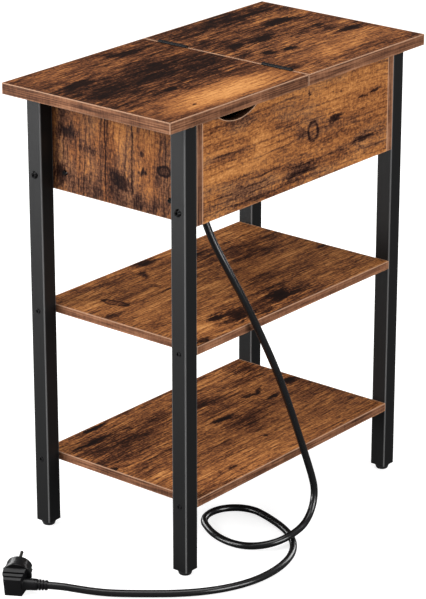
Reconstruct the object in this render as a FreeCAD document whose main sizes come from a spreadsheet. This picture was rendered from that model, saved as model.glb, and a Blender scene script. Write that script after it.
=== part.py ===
"""Lift top end table: four tube legs, a box with a hinged lid and a power strip, and two shelves.

Millimetres. The origin is on the floor under the middle of the top. +X runs along the top to the right,
+Y to the back and +Z up, so the finger notch is in the -Y panel and the lid is the -X half of the top.
"""
import FreeCAD, Part
import math
import os
import re

import Sketcher
from FreeCAD import Placement, Rotation, Vector

# Driving dimensions: name, value, meaning.
SIZES = (
    ("table_height", 675, "floor to the upper face of the top"),
    ("top_length", 572, "lid, seam and fixed top together"),
    ("top_width", 300, "front to back"),
    ("top_thickness", 16, "lid and fixed top"),
    ("lid_length", 296, "left end of the top to the seam"),
    ("seam_gap", 1.5, "between the lid and the fixed top"),
    ("end_overhang", 39, "top beyond the legs at each end"),
    ("side_overhang", 8, "top beyond the legs at front and back"),
    ("overrun", 1, "how far every cutting tool passes the face it starts from"),
    ("drill_fit", 0.1, "radial room of a fastener or bush in its hole"),
    ("leg_side", 25, "square tube"),
    ("leg_wall", 1.2, "tube wall"),
    ("leg_corner", 1.6, "outer corner radius of the tube"),
    ("leg_insert_height", 14, "threaded insert in the foot of a leg"),
    ("leg_cap_height", 6, "plastic cap in the head of a leg"),
    ("foot_height", 8, "foot below the tube, screwed right in"),
    ("foot_top_radius", 11.4, "foot under the tube"),
    ("foot_base_radius", 8.6, "foot on the floor"),
    ("foot_round", 1.8, "rounded lower rim of the foot"),
    ("stem_radius", 3, "threaded stem of the foot"),
    ("stem_length", 24, "stem above the foot"),
    ("box_height", 145, "side, front and back panels"),
    ("panel_thickness", 12, "panels and bottom board of the box"),
    ("bottom_rise", 21, "lower edge of the panels to the bottom board"),
    ("notch_from_end", 150, "middle of the finger notch from the lid's end"),
    ("notch_radius", 76, "finger notch"),
    ("notch_depth", 15, "finger notch below the top"),
    ("shelf_thickness", 12, "both shelves"),
    ("upper_shelf_height", 341, "upper face of the upper shelf"),
    ("lower_shelf_height", 113, "upper face of the lower shelf"),
    ("hinge_length", 51, "barrel of a hinge"),
    ("hinge_inset", 30, "long edge of the top to the hinge"),
    ("hinge_rise", 0.5, "hinge axis above the top"),
    ("hinge_fit", 0.35, "room around the barrel"),
    ("knuckle_radius", 3, "hinge barrel"),
    ("knuckle_gap", 0.3, "between neighbouring knuckles"),
    ("leaf_thickness", 1.2, "hinge leaf"),
    ("leaf_height", 9, "hinge leaf below the barrel"),
    ("pin_radius", 1.5, "hinge pin"),
    ("pin_fit", 0.05, "radial running clearance on the pin"),
    ("pin_head_radius", 2.4, "peened ends of the pin"),
    ("pin_head_height", 1, "peened ends of the pin"),
    ("hinge_screw_pitch", 17, "screws along a leaf"),
    ("hinge_screw_radius", 1.6, "shank"),
    ("hinge_screw_head_radius", 3, "countersunk head"),
    ("hinge_screw_length", 14, "shank in the board"),
    ("hinge_screw_socket", 1.2, "across the corners, halved"),
    ("hinge_screw_socket_depth", 0.8, "drive recess"),
    ("bolt_radius", 3, "leg bolts"),
    ("bolt_socket", 2.3, "hexagon recess across the corners, halved"),
    ("bolt_socket_depth", 2, "hexagon recess"),
    ("bolt_tip", 3, "shelf bolt beyond its barrel nut"),
    ("box_bolt_rise", 23, "lower edge of the box to the leg bolts"),
    ("box_bolt_head_radius", 5.8, "button head"),
    ("box_bolt_crown_radius", 3.8, "flat top of the button head"),
    ("box_bolt_head_height", 3, "button head"),
    ("shelf_bolt_head_radius", 3.9, "low head"),
    ("shelf_bolt_crown_radius", 3.5, "flat top of the low head"),
    ("shelf_bolt_head_height", 1.4, "low head"),
    ("insert_wall", 1.5, "threaded insert around a box bolt"),
    ("insert_cover", 2, "board left behind a threaded insert"),
    ("nut_wall", 2, "barrel nut around a shelf bolt"),
    ("nut_cover", 1.5, "board left above and below a barrel nut"),
    ("nut_setback", 20, "shelf end to the barrel nut"),
    ("bottom_screw_inset", 47, "front and back edges of a side panel to the screws"),
    ("bottom_screw_radius", 2, "shank"),
    ("bottom_screw_bite", 13, "shank in the bottom board"),
    ("bottom_screw_head_radius", 4, "pan head"),
    ("bottom_screw_crown_radius", 2.9, "flat top of the pan head"),
    ("bottom_screw_head_height", 2.2, "pan head"),
    ("bottom_screw_socket", 1.6, "drive recess across the corners, halved"),
    ("bottom_screw_socket_depth", 1.4, "drive recess"),
    ("cam_radius", 6, "cam lock"),
    ("cam_cover", 3, "board left behind a cam lock or its bolt"),
    ("cam_setback", 24, "board end to the middle of a cam lock"),
    ("cam_bolt_radius", 3, "cam bolt"),
    ("cam_slot_width", 1.6, "screwdriver slot of a cam lock"),
    ("cam_slot_depth", 1.5, "screwdriver slot of a cam lock"),
    ("cam_deck_gap", 29, "bottom board to the lower cam locks"),
    ("cam_top_gap", 28, "top to the upper cam locks"),
    ("top_cam_seam_gap", 60, "seam to the first cam bolt under the fixed top"),
    ("top_cam_end_gap", 140, "right end of the top to the last cam bolt"),
    ("grommet_bore", 12, "radius of the cable hole"),
    ("grommet_wall", 2, "sleeve of the grommet"),
    ("grommet_lip", 3, "flange beyond the sleeve"),
    ("grommet_flange", 2, "flange thickness"),
    ("grommet_from_front", 29.5, "front panel to the middle of the cable hole"),
    ("strip_side_gap", 7, "side panel to the power strip"),
    ("strip_back_gap", 6, "back panel to the power strip"),
    ("strip_wall", 2, "walls of the power strip"),
    ("strip_base_height", 22, "lower shell"),
    ("strip_edge", 2, "cover beside a socket's flange"),
    ("strip_screw_inset", 12, "end wall of the strip to a mounting screw"),
    ("strip_screw_radius", 1.75, "shank"),
    ("strip_screw_bite", 8, "shank in the bottom board"),
    ("strip_screw_head_radius", 3.6, "pan head"),
    ("strip_screw_crown_radius", 2.7, "flat top of the pan head"),
    ("strip_screw_head_height", 2, "pan head"),
    ("strip_screw_socket", 1.4, "drive recess across the corners, halved"),
    ("strip_screw_socket_depth", 1.2, "drive recess"),
    ("well_radius", 19.5, "round well of a socket"),
    ("well_depth", 17.5, "round well of a socket"),
    ("socket_wall", 1.5, "wall around the well"),
    ("socket_lip", 2, "flange beyond the wall"),
    ("socket_flange", 1.5, "flange above the cover"),
    ("socket_floor", 1.5, "floor of the well"),
    ("socket_gap", 2, "between the two flanges"),
    ("socket_end_gap", 3, "end wall of the strip to a flange"),
    ("socket_seat", 0.5, "cover deeper than a well"),
    ("contact_spacing", 19, "between a socket's two holes and a plug's two pins"),
    ("contact_hole_radius", 2.6, "hole for a pin"),
    ("clip_width", 5, "earth clip"),
    ("clip_thickness", 1, "earth clip"),
    ("clip_height", 14, "earth clip above the floor of the well"),
    ("sleeve_wall", 1, "contact sleeve under a hole"),
    ("sleeve_length", 12, "contact sleeve under a hole"),
    ("bar_thickness", 1, "bus bar under the sleeves"),
    ("usb_length", 34, "module along the strip"),
    ("usb_width", 16, "module across the strip"),
    ("usb_depth", 13, "module below the cover's face"),
    ("usb_lip", 1.5, "rim of the module on the cover"),
    ("usb_rim", 0.8, "rim of the module on the cover"),
    ("usb_gap", 7, "socket flange to the module"),
    ("usb_end_gap", 5, "module to the front end of the strip"),
    ("usb_board", 1.6, "circuit board under the module"),
    ("port_length", 12.4, "one port"),
    ("port_width", 4.8, "one port"),
    ("port_depth", 9, "one port"),
    ("port_pitch", 15.5, "between the ports"),
    ("port_tongue", 1.9, "tongue in a port"),
    ("relief_length", 22, "strain relief outside the strip"),
    ("relief_root_radius", 8, "strain relief at the strip"),
    ("relief_tip_radius", 6.2, "strain relief at the cord"),
    ("relief_neck_radius", 6, "in the wall of the strip"),
    ("relief_flange_radius", 8.5, "behind the wall of the strip"),
    ("relief_flange", 1.5, "behind the wall of the strip"),
    ("cord_diameter", 10.5, "mains cord"),
    ("boot_length", 17, "ribbed boot of the plug"),
    ("boot_tip_radius", 6.9, "boot at the cord"),
    ("boot_root_radius", 8.2, "boot at the plug"),
    ("boot_groove_width", 2.2, "groove between two ribs"),
    ("boot_groove_depth", 1.3, "groove between two ribs"),
    ("plug_reach", 44, "cord's end to the middle of the plug"),
    ("plug_lift", 8, "middle of the nose above the cord's axis"),
    ("plug_neck_radius", 9.4, "neck in the grip"),
    ("plug_grip_front", 6, "grip before the cord's axis"),
    ("plug_grip_back", 12, "grip behind the cord's axis"),
    ("plug_grip_base", 13, "grip below the cord's axis"),
    ("plug_grip_top", 22, "front of the grip above the cord's axis"),
    ("plug_grip_near", 14, "front of the grip, from the middle to the cord"),
    ("plug_grip_far", 18, "front of the grip, from the middle to its far end"),
    ("plug_back_top", 16, "back of the grip above the cord's axis"),
    ("plug_back_near", 9, "back of the grip, from the middle to the cord"),
    ("plug_back_far", 15, "back of the grip, from the middle to its far end"),
    ("plug_groove_width", 2.4, "finger groove across the grip"),
    ("plug_groove_pitch", 6, "between the finger grooves"),
    ("plug_groove_floor", 16.5, "finger grooves above the cord's axis"),
    ("plug_collar_radius", 20.5, "collar between the grip and the nose"),
    ("plug_collar_depth", 5, "collar between the grip and the nose"),
    ("plug_face_radius", 18.5, "round nose that enters a well"),
    ("plug_face_depth", 15, "round nose that enters a well"),
    ("plug_pin_radius", 2.4, "pin"),
    ("plug_pin_length", 19, "pin beyond the nose"),
    ("plug_pin_root", 8, "pin inside the nose"),
    ("plug_earth_width", 6, "earth contact on the nose's rim"),
    ("plug_earth_thickness", 1, "earth contact on the nose's rim"),
    ("plug_earth_length", 13, "earth contact on the nose's rim"),
    ("plug_earth_depth", 2.5, "groove for an earth contact"),
)
KNUCKLES = 5
BOOT_GROOVES = 3
PLUG_PIN_TURN = 90  # degrees from the cord's line to the line through the two pins
PLUG_PIN_RISE = 16  # degrees from the floor to the pins

# The cord's route: strip, cable hole, down past the shelves, a loop on the floor, plug.
CORD_ROUTE = (
    (-178, -43, 569),
    (-178, -67, 569),
    (-178, -85.3, 561.4),
    (-177.3, -99.4, 547.3),
    (-175.5, -107.5, 529),
    (-171, -113.5, 503),
    (-163, -122, 471),
    (-148.5, -136, 430),
    (-126.5, -150.5, 378),
    (-102, -160, 322),
    (-78, -166.5, 268.5),
    (-56.5, -170.5, 216),
    (-36, -173, 164),
    (-18, -174.5, 119),
    (-5.5, -176, 85.5),
    (0.5, -177.5, 62.5),
    (-3.5, -179.5, 43),
    (-15.5, -182, 27.5),
    (-33, -185, 18.6),
    (-54, -188.5, 17.1),
    (-75.5, -189.5, 15.9),
    (-96, -182.5, 12.2),
    (-112.5, -168, 8.6),
    (-122.5, -148.5, 6),
    (-126.5, -127, 5.25),
    (-124.3, -104.5, 5.25),
    (-118.5, -86, 5.25),
    (-109.5, -68.5, 5.25),
    (-95, -47, 5.25),
    (-71.5, -36.5, 5.25),
    (-46, -40, 5.25),
    (-26, -57, 5.25),
    (-18, -81.5, 5.25),
    (-23, -105.5, 5.25),
    (-30, -128, 5.25),
    (-38.5, -150, 5.25),
    (-50, -171, 5.25),
    (-65.5, -190, 5.25),
    (-85.5, -206.5, 5.25),
    (-110.5, -219, 5.25),
    (-140, -226.5, 5.25),
    (-173, -228.5, 5.25),
    (-208, -223.5, 5.25),
    (-241, -210.5, 5.25),
    (-271, -191.5, 5.25),
    (-298, -167, 5.25),
    (-320.5, -140.5, 5.25),
    (-339.5, -116.5, 5.25),
    (-356, -96, 5.9),
    (-371.5, -77, 8.6),
    (-385.5, -60, 12.4),
    (-397.5, -44, 15.82),
    (-407.5, -27, 15.82),
)

NAMES = {name for name, _, _ in SIZES}
SIDES = {"left": "-1", "right": "1"}
DEPTHS = {"front": "-1", "back": "1"}
TURNS = {
    "+X": Rotation(Vector(0, 1, 0), 90),
    "-X": Rotation(Vector(0, 1, 0), -90),
    "+Y": Rotation(Vector(1, 0, 0), -90),
    "-Y": Rotation(Vector(1, 0, 0), 90),
    "+Z": Rotation(),
    "-Z": Rotation(Vector(1, 0, 0), 180),
}

# Places that follow from the sizes.
UNDER_TOP = "(table_height - top_thickness)"
LEG_X = "(top_length / 2 - end_overhang - leg_side / 2)"
LEG_Y = "(top_width / 2 - side_overhang - leg_side / 2)"
LEG_OUTER_X = "(top_length / 2 - end_overhang)"
LEG_INNER_X = "(top_length / 2 - end_overhang - leg_side)"
LEG_BORE = "(leg_side - 2 * leg_wall)"
FACE_Y = "(top_width / 2 - side_overhang)"
BOX_BASE = f"({UNDER_TOP} - box_height)"
BOX_INNER_X = f"({LEG_INNER_X} - panel_thickness)"
BOX_INNER_Y = f"({FACE_Y} - panel_thickness)"
BOX_BOLT_Z = f"({BOX_BASE} + box_bolt_rise)"
BOTTOM_Z = f"({BOX_BASE} + bottom_rise)"
BOTTOM_MIDDLE_Z = f"({BOTTOM_Z} + panel_thickness / 2)"
BOTTOM_SCREW_Y = f"({FACE_Y} - bottom_screw_inset)"
DECK_Z = f"({BOTTOM_Z} + panel_thickness)"
SEAM_X = "(lid_length + seam_gap / 2 - top_length / 2)"
SHELF_MIDDLES = {name: f"({name}_shelf_height - shelf_thickness / 2)" for name in ("upper", "lower")}
INSERT_LENGTH = "(panel_thickness - insert_cover)"
INSERT_RADIUS = "(bolt_radius + drill_fit + insert_wall)"
NUT_RADIUS = "(bolt_radius + drill_fit + nut_wall)"
NUT_LENGTH = "(shelf_thickness - 2 * nut_cover)"
SHELF_BOLT_GRIP = f"(nut_setback + {NUT_RADIUS} + bolt_tip)"
CAM_DEPTH = "(panel_thickness - cam_cover)"
CAM_BOLT_Y = f"({FACE_Y} - panel_thickness / 2)"
CAM_HEIGHTS = (f"({DECK_Z} + cam_deck_gap)", f"({UNDER_TOP} - cam_top_gap)")
TOP_CAM_XS = (f"({SEAM_X} + top_cam_seam_gap)", "(top_length / 2 - top_cam_end_gap)")
HINGE_Y = "(top_width / 2 - hinge_inset - hinge_length / 2)"
HINGE_Z = "(table_height + hinge_rise)"
LEAF_TOP = f"({HINGE_Z} - knuckle_radius - hinge_fit)"
LEAF_BOTTOM = f"({LEAF_TOP} - leaf_height)"
FLANGE_RADIUS = "(well_radius + socket_wall + socket_lip)"
STRIP_WIDTH = f"(2 * {FLANGE_RADIUS} + 2 * strip_edge)"
STRIP_X = f"(strip_side_gap + {STRIP_WIDTH} / 2 - {BOX_INNER_X})"
STRIP_BACK = f"({BOX_INNER_Y} - strip_back_gap)"
SOCKET_BACK_Y = f"({STRIP_BACK} - strip_wall - socket_end_gap - {FLANGE_RADIUS})"
SOCKET_FRONT_Y = f"({SOCKET_BACK_Y} - 2 * {FLANGE_RADIUS} - socket_gap)"
SOCKET_YS = {"socket_back": SOCKET_BACK_Y, "socket_front": SOCKET_FRONT_Y}
USB_Y = f"({SOCKET_FRONT_Y} - {FLANGE_RADIUS} - usb_gap - usb_length / 2)"
STRIP_FRONT = f"({USB_Y} - usb_length / 2 - usb_end_gap)"
STRIP_LENGTH = f"({STRIP_BACK} - {STRIP_FRONT})"
STRIP_SPLIT = f"({DECK_Z} + strip_base_height)"
STRIP_COVER_HEIGHT = "(well_depth + socket_seat)"
STRIP_TOP = f"({STRIP_SPLIT} + {STRIP_COVER_HEIGHT})"
WELL_FLOOR_Z = f"({STRIP_TOP} + socket_flange - well_depth)"
SLEEVE_TOP = f"({WELL_FLOOR_Z} - socket_floor)"
GROMMET_Y = f"(grommet_from_front - {BOX_INNER_Y})"
PLUG_FACE_Y = "(plug_grip_front + plug_collar_depth + plug_face_depth)"

doc = FreeCAD.newDocument("lift_top_end_table")
sheet = doc.addObject("Spreadsheet::Sheet", "sizes")
for row, (name, value, meaning) in enumerate(SIZES, 1):
    sheet.set(f"A{row}", meaning)
    sheet.set(f"B{row}", str(value))
    sheet.setAlias(f"B{row}", name)
doc.recompute()
pieces = []


def formula(text):
    """Puts the sheet's name before each size that a formula names."""
    return re.sub(r"[a-z_]+", lambda word: f"sizes.{word[0]}" if word[0] in NAMES else word[0], text)


def number(text):
    return float(sheet.evalExpression(formula(text)))


def bind(thing, **formulas):
    for name, text in formulas.items():
        thing.setExpression(name, formula(text))


def place(thing, point, turn=Rotation()):
    thing.Placement = Placement(Vector(), turn)
    for axis, text in zip("xyz", point):
        thing.setExpression(f"Placement.Base.{axis}", formula(text))
    return thing


def moved(point, towards, distance):
    """The point a distance further along a row axis such as "+X"."""
    at = "XYZ".index(towards[1])
    return tuple(f"({text} {towards[0]} {distance})" if n == at else text for n, text in enumerate(point))


def opposite(towards):
    return ("-" if towards[0] == "+" else "+") + towards[1]


def box(name, size, low):
    block = doc.addObject("Part::Box", name)
    bind(block, Length=size[0], Width=size[1], Height=size[2])
    return place(block, low)


def middle_box(name, size, middle):
    low = [f"({where} - {length} / 2)" for where, length in zip(middle, size)]
    return box(name, size, low)


def cylinder(name, radius, length, start, towards):
    rod = doc.addObject("Part::Cylinder", name)
    bind(rod, Radius=radius, Height=length)
    return place(rod, start, TURNS[towards])


def cone(name, start_radius, end_radius, length, start, towards):
    taper = doc.addObject("Part::Cone", name)
    bind(taper, Radius1=start_radius, Radius2=end_radius, Height=length)
    return place(taper, start, TURNS[towards])


def hexagon(name, radius, length, start, towards):
    prism = doc.addObject("Part::Prism", name)
    prism.Polygon = 6
    bind(prism, Circumradius=radius, Height=length)
    return place(prism, start, TURNS[towards])


def hole(name, radius, length, start, towards):
    """A drill that enters through the face at start, with the overrun before it."""
    before = moved(start, opposite(towards), "overrun")
    return cylinder(name, radius, f"({length} + overrun)", before, towards)


def fuse(name, *solids):
    joined = doc.addObject("Part::MultiFuse", name)
    joined.Shapes = list(solids)
    return joined


def cut(name, base, *tools):
    result = doc.addObject("Part::Cut", name)
    result.Base = base
    result.Tool = tools[0] if len(tools) == 1 else fuse(f"{name}_tools", *tools)
    return result


def group(name, members):
    together = doc.addObject("Part::Compound", name)
    together.Links = list(members)
    return together


def piece(label, thing):
    """Marks a finished sub-part; its label names its file."""
    thing.Label = label
    pieces.append(thing)
    return thing


def sketch_on(body, name, role):
    sketch = body.newObject("Sketcher::SketchObject", name)
    plane = next(datum for datum in body.Origin.OriginFeatures if datum.Role == role)
    sketch.AttachmentSupport = (plane, [""])
    sketch.MapMode = "FlatFace"
    return sketch


def constrain(sketch, text, kind, *where):
    at = sketch.addConstraint(Sketcher.Constraint(kind, *where, number(text)))
    sketch.setExpression(f"Constraints[{at}]", formula(text))


def square_sketch(body, name, side):
    """A square about the origin of the body's XY plane."""
    sketch = sketch_on(body, name, "XY_Plane")
    half = number(side) / 2
    corners = [Vector(x * half, y * half) for x, y in ((-1, -1), (1, -1), (1, 1), (-1, 1))]
    for n in range(4):
        sketch.addGeometry(Part.LineSegment(corners[n], corners[(n + 1) % 4]))
    for n in range(4):
        sketch.addConstraint(Sketcher.Constraint("Coincident", n, 2, (n + 1) % 4, 1))
        sketch.addConstraint(Sketcher.Constraint("Vertical" if n % 2 else "Horizontal", n))
    sketch.addConstraint(Sketcher.Constraint("Symmetric", 0, 1, 2, 1, -1, 1))
    constrain(sketch, side, "DistanceX", 0, 1, 0, 2)
    constrain(sketch, side, "DistanceY", 1, 1, 1, 2)
    return sketch


def circles_sketch(body, name, radius, heights):
    """Circles one above another on the upright axis of the body's YZ plane."""
    sketch = sketch_on(body, name, "YZ_Plane")
    for n, height in enumerate(heights):
        sketch.addGeometry(Part.Circle(Vector(0, number(height)), Vector(0, 0, 1), number(radius)))
        sketch.addConstraint(Sketcher.Constraint("PointOnObject", n, 3, -2))
        constrain(sketch, height, "DistanceY", -1, 1, n, 3)
        constrain(sketch, radius, "Radius", n)
    return sketch


def profile_sketch(body, name, points):
    """A closed outline on the XZ plane whose first and last points lie on the upright axis."""
    sketch = sketch_on(body, name, "XZ_Plane")
    corners = [Vector(number(x), number(z)) for x, z in points]
    count = len(points)
    for n in range(count):
        sketch.addGeometry(Part.LineSegment(corners[n], corners[(n + 1) % count]))
    for n in range(count):
        sketch.addConstraint(Sketcher.Constraint("Coincident", n, 2, (n + 1) % count, 1))
    for n, (x, z) in enumerate(points):
        if x == "0":
            sketch.addConstraint(Sketcher.Constraint("PointOnObject", n, 1, -2))
        else:
            constrain(sketch, x, "DistanceX", -1, 1, n, 1)
        if z == "0":
            sketch.addConstraint(Sketcher.Constraint("PointOnObject", n, 1, -1))
        else:
            constrain(sketch, z, "DistanceY", -1, 1, n, 1)
    return sketch


def headed(name, seat, towards, head, shank, socket):
    """A screw or bolt: head is rim and crown radius and height, shank and socket are radius and length."""
    rim, crown, height = head
    back = opposite(towards)
    solid = fuse(
        f"{name}_blank",
        cone(f"{name}_head", rim, crown, height, seat, back),
        cylinder(f"{name}_shank", shank[0], shank[1], seat, towards),
    )
    top = moved(moved(seat, back, height), back, "overrun")
    return cut(name, solid, hexagon(f"{name}_socket", socket[0], f"({socket[1]} + overrun)", top, towards))


def leg_places():
    for side, x_sign in SIDES.items():
        for depth, y_sign in DEPTHS.items():
            yield f"{depth}_{side}", side, f"({x_sign} * {LEG_X})", f"({y_sign} * {LEG_Y})"


def inward(side):
    return "+X" if side == "left" else "-X"


def make_legs():
    bolt_heights = [f"({z} - foot_height)" for z in (BOX_BOLT_Z, *SHELF_MIDDLES.values())]
    for place_name, _, x, y in leg_places():
        label = f"leg_{place_name}"
        body = doc.addObject("PartDesign::Body", label)
        bar = body.newObject("PartDesign::Pad", f"{label}_bar")
        bar.Profile = square_sketch(body, f"{label}_outline", "leg_side")
        bind(bar, Length=f"({UNDER_TOP} - foot_height)")
        doc.recompute()
        upright = [
            f"Edge{n}"
            for n, edge in enumerate(bar.Shape.Edges, 1)
            if abs(edge.tangentAt(edge.FirstParameter).z) > 0.9
        ]
        rounded = body.newObject("PartDesign::Fillet", f"{label}_corners")
        rounded.Base = (bar, upright)
        bind(rounded, Radius="leg_corner")
        bore = body.newObject("PartDesign::Pocket", f"{label}_bore")
        bore.Profile = square_sketch(body, f"{label}_inside", LEG_BORE)
        bore.Type = "ThroughAll"
        bore.Reversed = True
        doc.recompute()
        drill = body.newObject("PartDesign::Pocket", f"{label}_bolt_holes")
        drill.Profile = circles_sketch(body, f"{label}_bolts", "(bolt_radius + drill_fit)", bolt_heights)
        drill.Type = "ThroughAll"
        drill.SideType = "Symmetric"
        piece(label, place(body, (x, y, "foot_height")))


def make_leg_ends():
    side = f"({LEG_BORE} - 2 * drill_fit)"
    for place_name, _, x, y in leg_places():
        low = (f"({x} - {side} / 2)", f"({y} - {side} / 2)")
        label = f"leg_insert_{place_name}"
        block = box(f"{label}_block", (side, side, "leg_insert_height"), (*low, "foot_height"))
        thread = hole(f"{label}_thread", "(stem_radius + drill_fit)", "(leg_insert_height + overrun)",
                      (x, y, "foot_height"), "+Z")
        piece(label, cut(label, block, thread))
        label = f"leg_cap_{place_name}"
        cap_z = f"({UNDER_TOP} - leg_cap_height)"
        piece(label, box(label, (side, side, "leg_cap_height"), (*low, cap_z)))


def make_feet():
    stem_top = "(foot_height + stem_length)"
    outline = (
        ("0", "0"),
        ("foot_base_radius", "0"),
        ("foot_top_radius", "foot_height"),
        ("stem_radius", "foot_height"),
        ("stem_radius", stem_top),
        ("0", stem_top),
    )
    for place_name, _, x, y in leg_places():
        label = f"foot_{place_name}"
        body = doc.addObject("PartDesign::Body", label)
        sketch = profile_sketch(body, f"{label}_outline", outline)
        turned = body.newObject("PartDesign::Revolution", f"{label}_turned")
        turned.Profile = sketch
        turned.ReferenceAxis = (sketch, ["V_Axis"])
        turned.Angle = 360
        doc.recompute()
        rim = [
            f"Edge{n}"
            for n, edge in enumerate(turned.Shape.Edges, 1)
            if edge.BoundBox.ZMax < turned.Shape.BoundBox.ZMin + number("foot_height") / 2 and edge.Closed
        ]
        rounded = body.newObject("PartDesign::Fillet", f"{label}_rim")
        rounded.Base = (turned, rim)
        bind(rounded, Radius="foot_round")
        piece(label, place(body, (x, y, "0")))


def side_panel(side, sign):
    """Side panel with its holes for leg bolts, bottom screws and cam bolts."""
    label = f"side_panel_{side}"
    middle_x = f"({sign} * ({LEG_INNER_X} - panel_thickness / 2))"
    board = middle_box(
        f"{label}_board",
        ("panel_thickness", f"(2 * {FACE_Y})", "box_height"),
        (middle_x, "0", f"({BOX_BASE} + box_height / 2)"),
    )
    outer_x = f"({sign} * {LEG_INNER_X})"
    inner_x = f"({sign} * {BOX_INNER_X})"
    tools = []
    for depth, y_sign in DEPTHS.items():
        tools.append(hole(f"{label}_{depth}_insert_hole", f"({INSERT_RADIUS} + drill_fit)", INSERT_LENGTH,
                          (outer_x, f"({y_sign} * {LEG_Y})", BOX_BOLT_Z), inward(side)))
        tools.append(hole(f"{label}_{depth}_screw_hole", "(bottom_screw_radius + drill_fit)",
                          "(panel_thickness + overrun)",
                          (outer_x, f"({y_sign} * {BOTTOM_SCREW_Y})", BOTTOM_MIDDLE_Z), inward(side)))
        for n, height in enumerate(CAM_HEIGHTS):
            tools.append(hole(f"{label}_{depth}_cam_hole_{n}", "(cam_bolt_radius + drill_fit)", CAM_DEPTH,
                              (inner_x, f"({y_sign} * {CAM_BOLT_Y})", height), opposite(inward(side))))
    piece(label, cut(label, board, *tools))


def cam_places():
    """Cam locks: name, panel, middle on its inner face, way to the bolt, way into the panel, owner."""
    for depth, y_sign in DEPTHS.items():
        face_y = f"({y_sign} * {BOX_INNER_Y})"
        into = "-Y" if depth == "front" else "+Y"
        for side, x_sign in SIDES.items():
            x = f"({x_sign} * ({BOX_INNER_X} - cam_setback))"
            outward = opposite(inward(side))
            for n, height in enumerate(CAM_HEIGHTS):
                yield f"{depth}_{side}_{n}", depth, (x, face_y, height), outward, into, "panel"
        for n, x in enumerate(TOP_CAM_XS):
            height = f"({UNDER_TOP} - cam_setback)"
            yield f"{depth}_top_{n}", depth, (x, face_y, height), "+Z", into, "top"


def long_panel(depth, sign):
    """Front or back panel, drilled for its cam locks; the front one has the finger notch."""
    label = f"{depth}_panel"
    board = middle_box(
        f"{label}_board",
        (f"(2 * {BOX_INNER_X})", "panel_thickness", "box_height"),
        ("0", f"({sign} * {CAM_BOLT_Y})", f"({BOX_BASE} + box_height / 2)"),
    )
    tools = []
    for name, where, middle, to_bolt, into, _ in cam_places():
        if where == depth:
            tools.append(hole(f"{label}_cam_{name}", "(cam_radius + drill_fit)", CAM_DEPTH, middle, into))
            centre = moved(middle, into, "panel_thickness / 2")
            tools.append(hole(f"{label}_bolt_{name}", "(cam_bolt_radius + drill_fit)", "cam_setback",
                              moved(centre, to_bolt, "cam_setback"), opposite(to_bolt)))
    if depth == "front":
        tools.append(hole(f"{label}_notch", "notch_radius", "(panel_thickness + overrun)",
                          ("(notch_from_end - top_length / 2)", f"(-1 * {BOX_INNER_Y})",
                           f"({UNDER_TOP} - notch_depth + notch_radius)"), "-Y"))
    piece(label, cut(label, board, *tools))


def make_box_bottom():
    board = middle_box(
        "box_bottom_board",
        (f"(2 * {BOX_INNER_X})", f"(2 * {BOX_INNER_Y})", "panel_thickness"),
        ("0", "0", BOTTOM_MIDDLE_Z),
    )
    tools = [hole("box_bottom_cable_hole", "(grommet_bore + grommet_wall + drill_fit)",
                  "(panel_thickness + overrun)", (STRIP_X, GROMMET_Y, DECK_Z), "-Z")]
    for side, x_sign in SIDES.items():
        for depth, y_sign in DEPTHS.items():
            start = (f"({x_sign} * {BOX_INNER_X})", f"({y_sign} * {BOTTOM_SCREW_Y})", BOTTOM_MIDDLE_Z)
            tools.append(hole(f"box_bottom_screw_{depth}_{side}", "(bottom_screw_radius + drill_fit)",
                              "bottom_screw_bite", start, inward(side)))
    for n, y in enumerate(strip_screw_ys()):
        tools.append(hole(f"box_bottom_strip_screw_{n}", "(strip_screw_radius + drill_fit)",
                          "strip_screw_bite", (STRIP_X, y, DECK_Z), "-Z"))
    piece("box_bottom", cut("box_bottom", board, *tools))


def make_shelf(level):
    """Shelf with a bolt hole in each end at each leg, and the barrel nut's hole from below."""
    label = f"{level}_shelf"
    middle_z = SHELF_MIDDLES[level]
    board = middle_box(f"{label}_board", (f"(2 * {LEG_INNER_X})", f"(2 * {FACE_Y})", "shelf_thickness"),
                       ("0", "0", middle_z))
    tools = []
    for name, side, _, y in leg_places():
        end = (f"({SIDES[side]} * {LEG_INNER_X})", y, middle_z)
        tools.append(hole(f"{label}_bolt_{name}", "(bolt_radius + drill_fit)", SHELF_BOLT_GRIP,
                          end, inward(side)))
        below = moved(moved(end, inward(side), "nut_setback"), "-Z", "shelf_thickness / 2")
        tools.append(hole(f"{label}_nut_{name}", f"({NUT_RADIUS} + drill_fit)",
                          f"((shelf_thickness + {NUT_LENGTH}) / 2)", below, "+Z"))
    piece(label, cut(label, board, *tools))


def hinge_recess(name, y):
    """The room for one hinge in both boards: a rebate around the barrel and a mortise for the leaves."""
    rebate = "(knuckle_radius + hinge_fit)"
    rebate_length = "(hinge_length + 2 * pin_head_height + 2 * hinge_fit)"
    barrel = box(
        f"{name}_rebate",
        (f"(2 * {rebate})", rebate_length, f"({rebate} + overrun)"),
        (f"({SEAM_X} - {rebate})", f"({y} - {rebate_length} / 2)", LEAF_TOP),
    )
    mortise_width = "(seam_gap + 2 * leaf_thickness)"
    mortise_length = "(hinge_length + 2 * drill_fit)"
    leaves = box(
        f"{name}_mortise",
        (mortise_width, mortise_length, "(leaf_height + drill_fit + overrun)"),
        (f"({SEAM_X} - {mortise_width} / 2)", f"({y} - {mortise_length} / 2)",
         f"({LEAF_BOTTOM} - drill_fit)"),
    )
    return fuse(name, barrel, leaves)


def hinge_screw_places(sign):
    """Seam face of a leaf at each screw: sign 1 is the fixed top's leaf, -1 the lid's."""
    x = f"({SEAM_X} + {sign} * seam_gap / 2)"
    for depth, y_sign in DEPTHS.items():
        for n in (-1, 0, 1):
            y = f"({y_sign} * {HINGE_Y} + {n} * hinge_screw_pitch)"
            yield f"{depth}_{n + 1}", depth, (x, y, f"(({LEAF_TOP} + {LEAF_BOTTOM}) / 2)")


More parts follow.
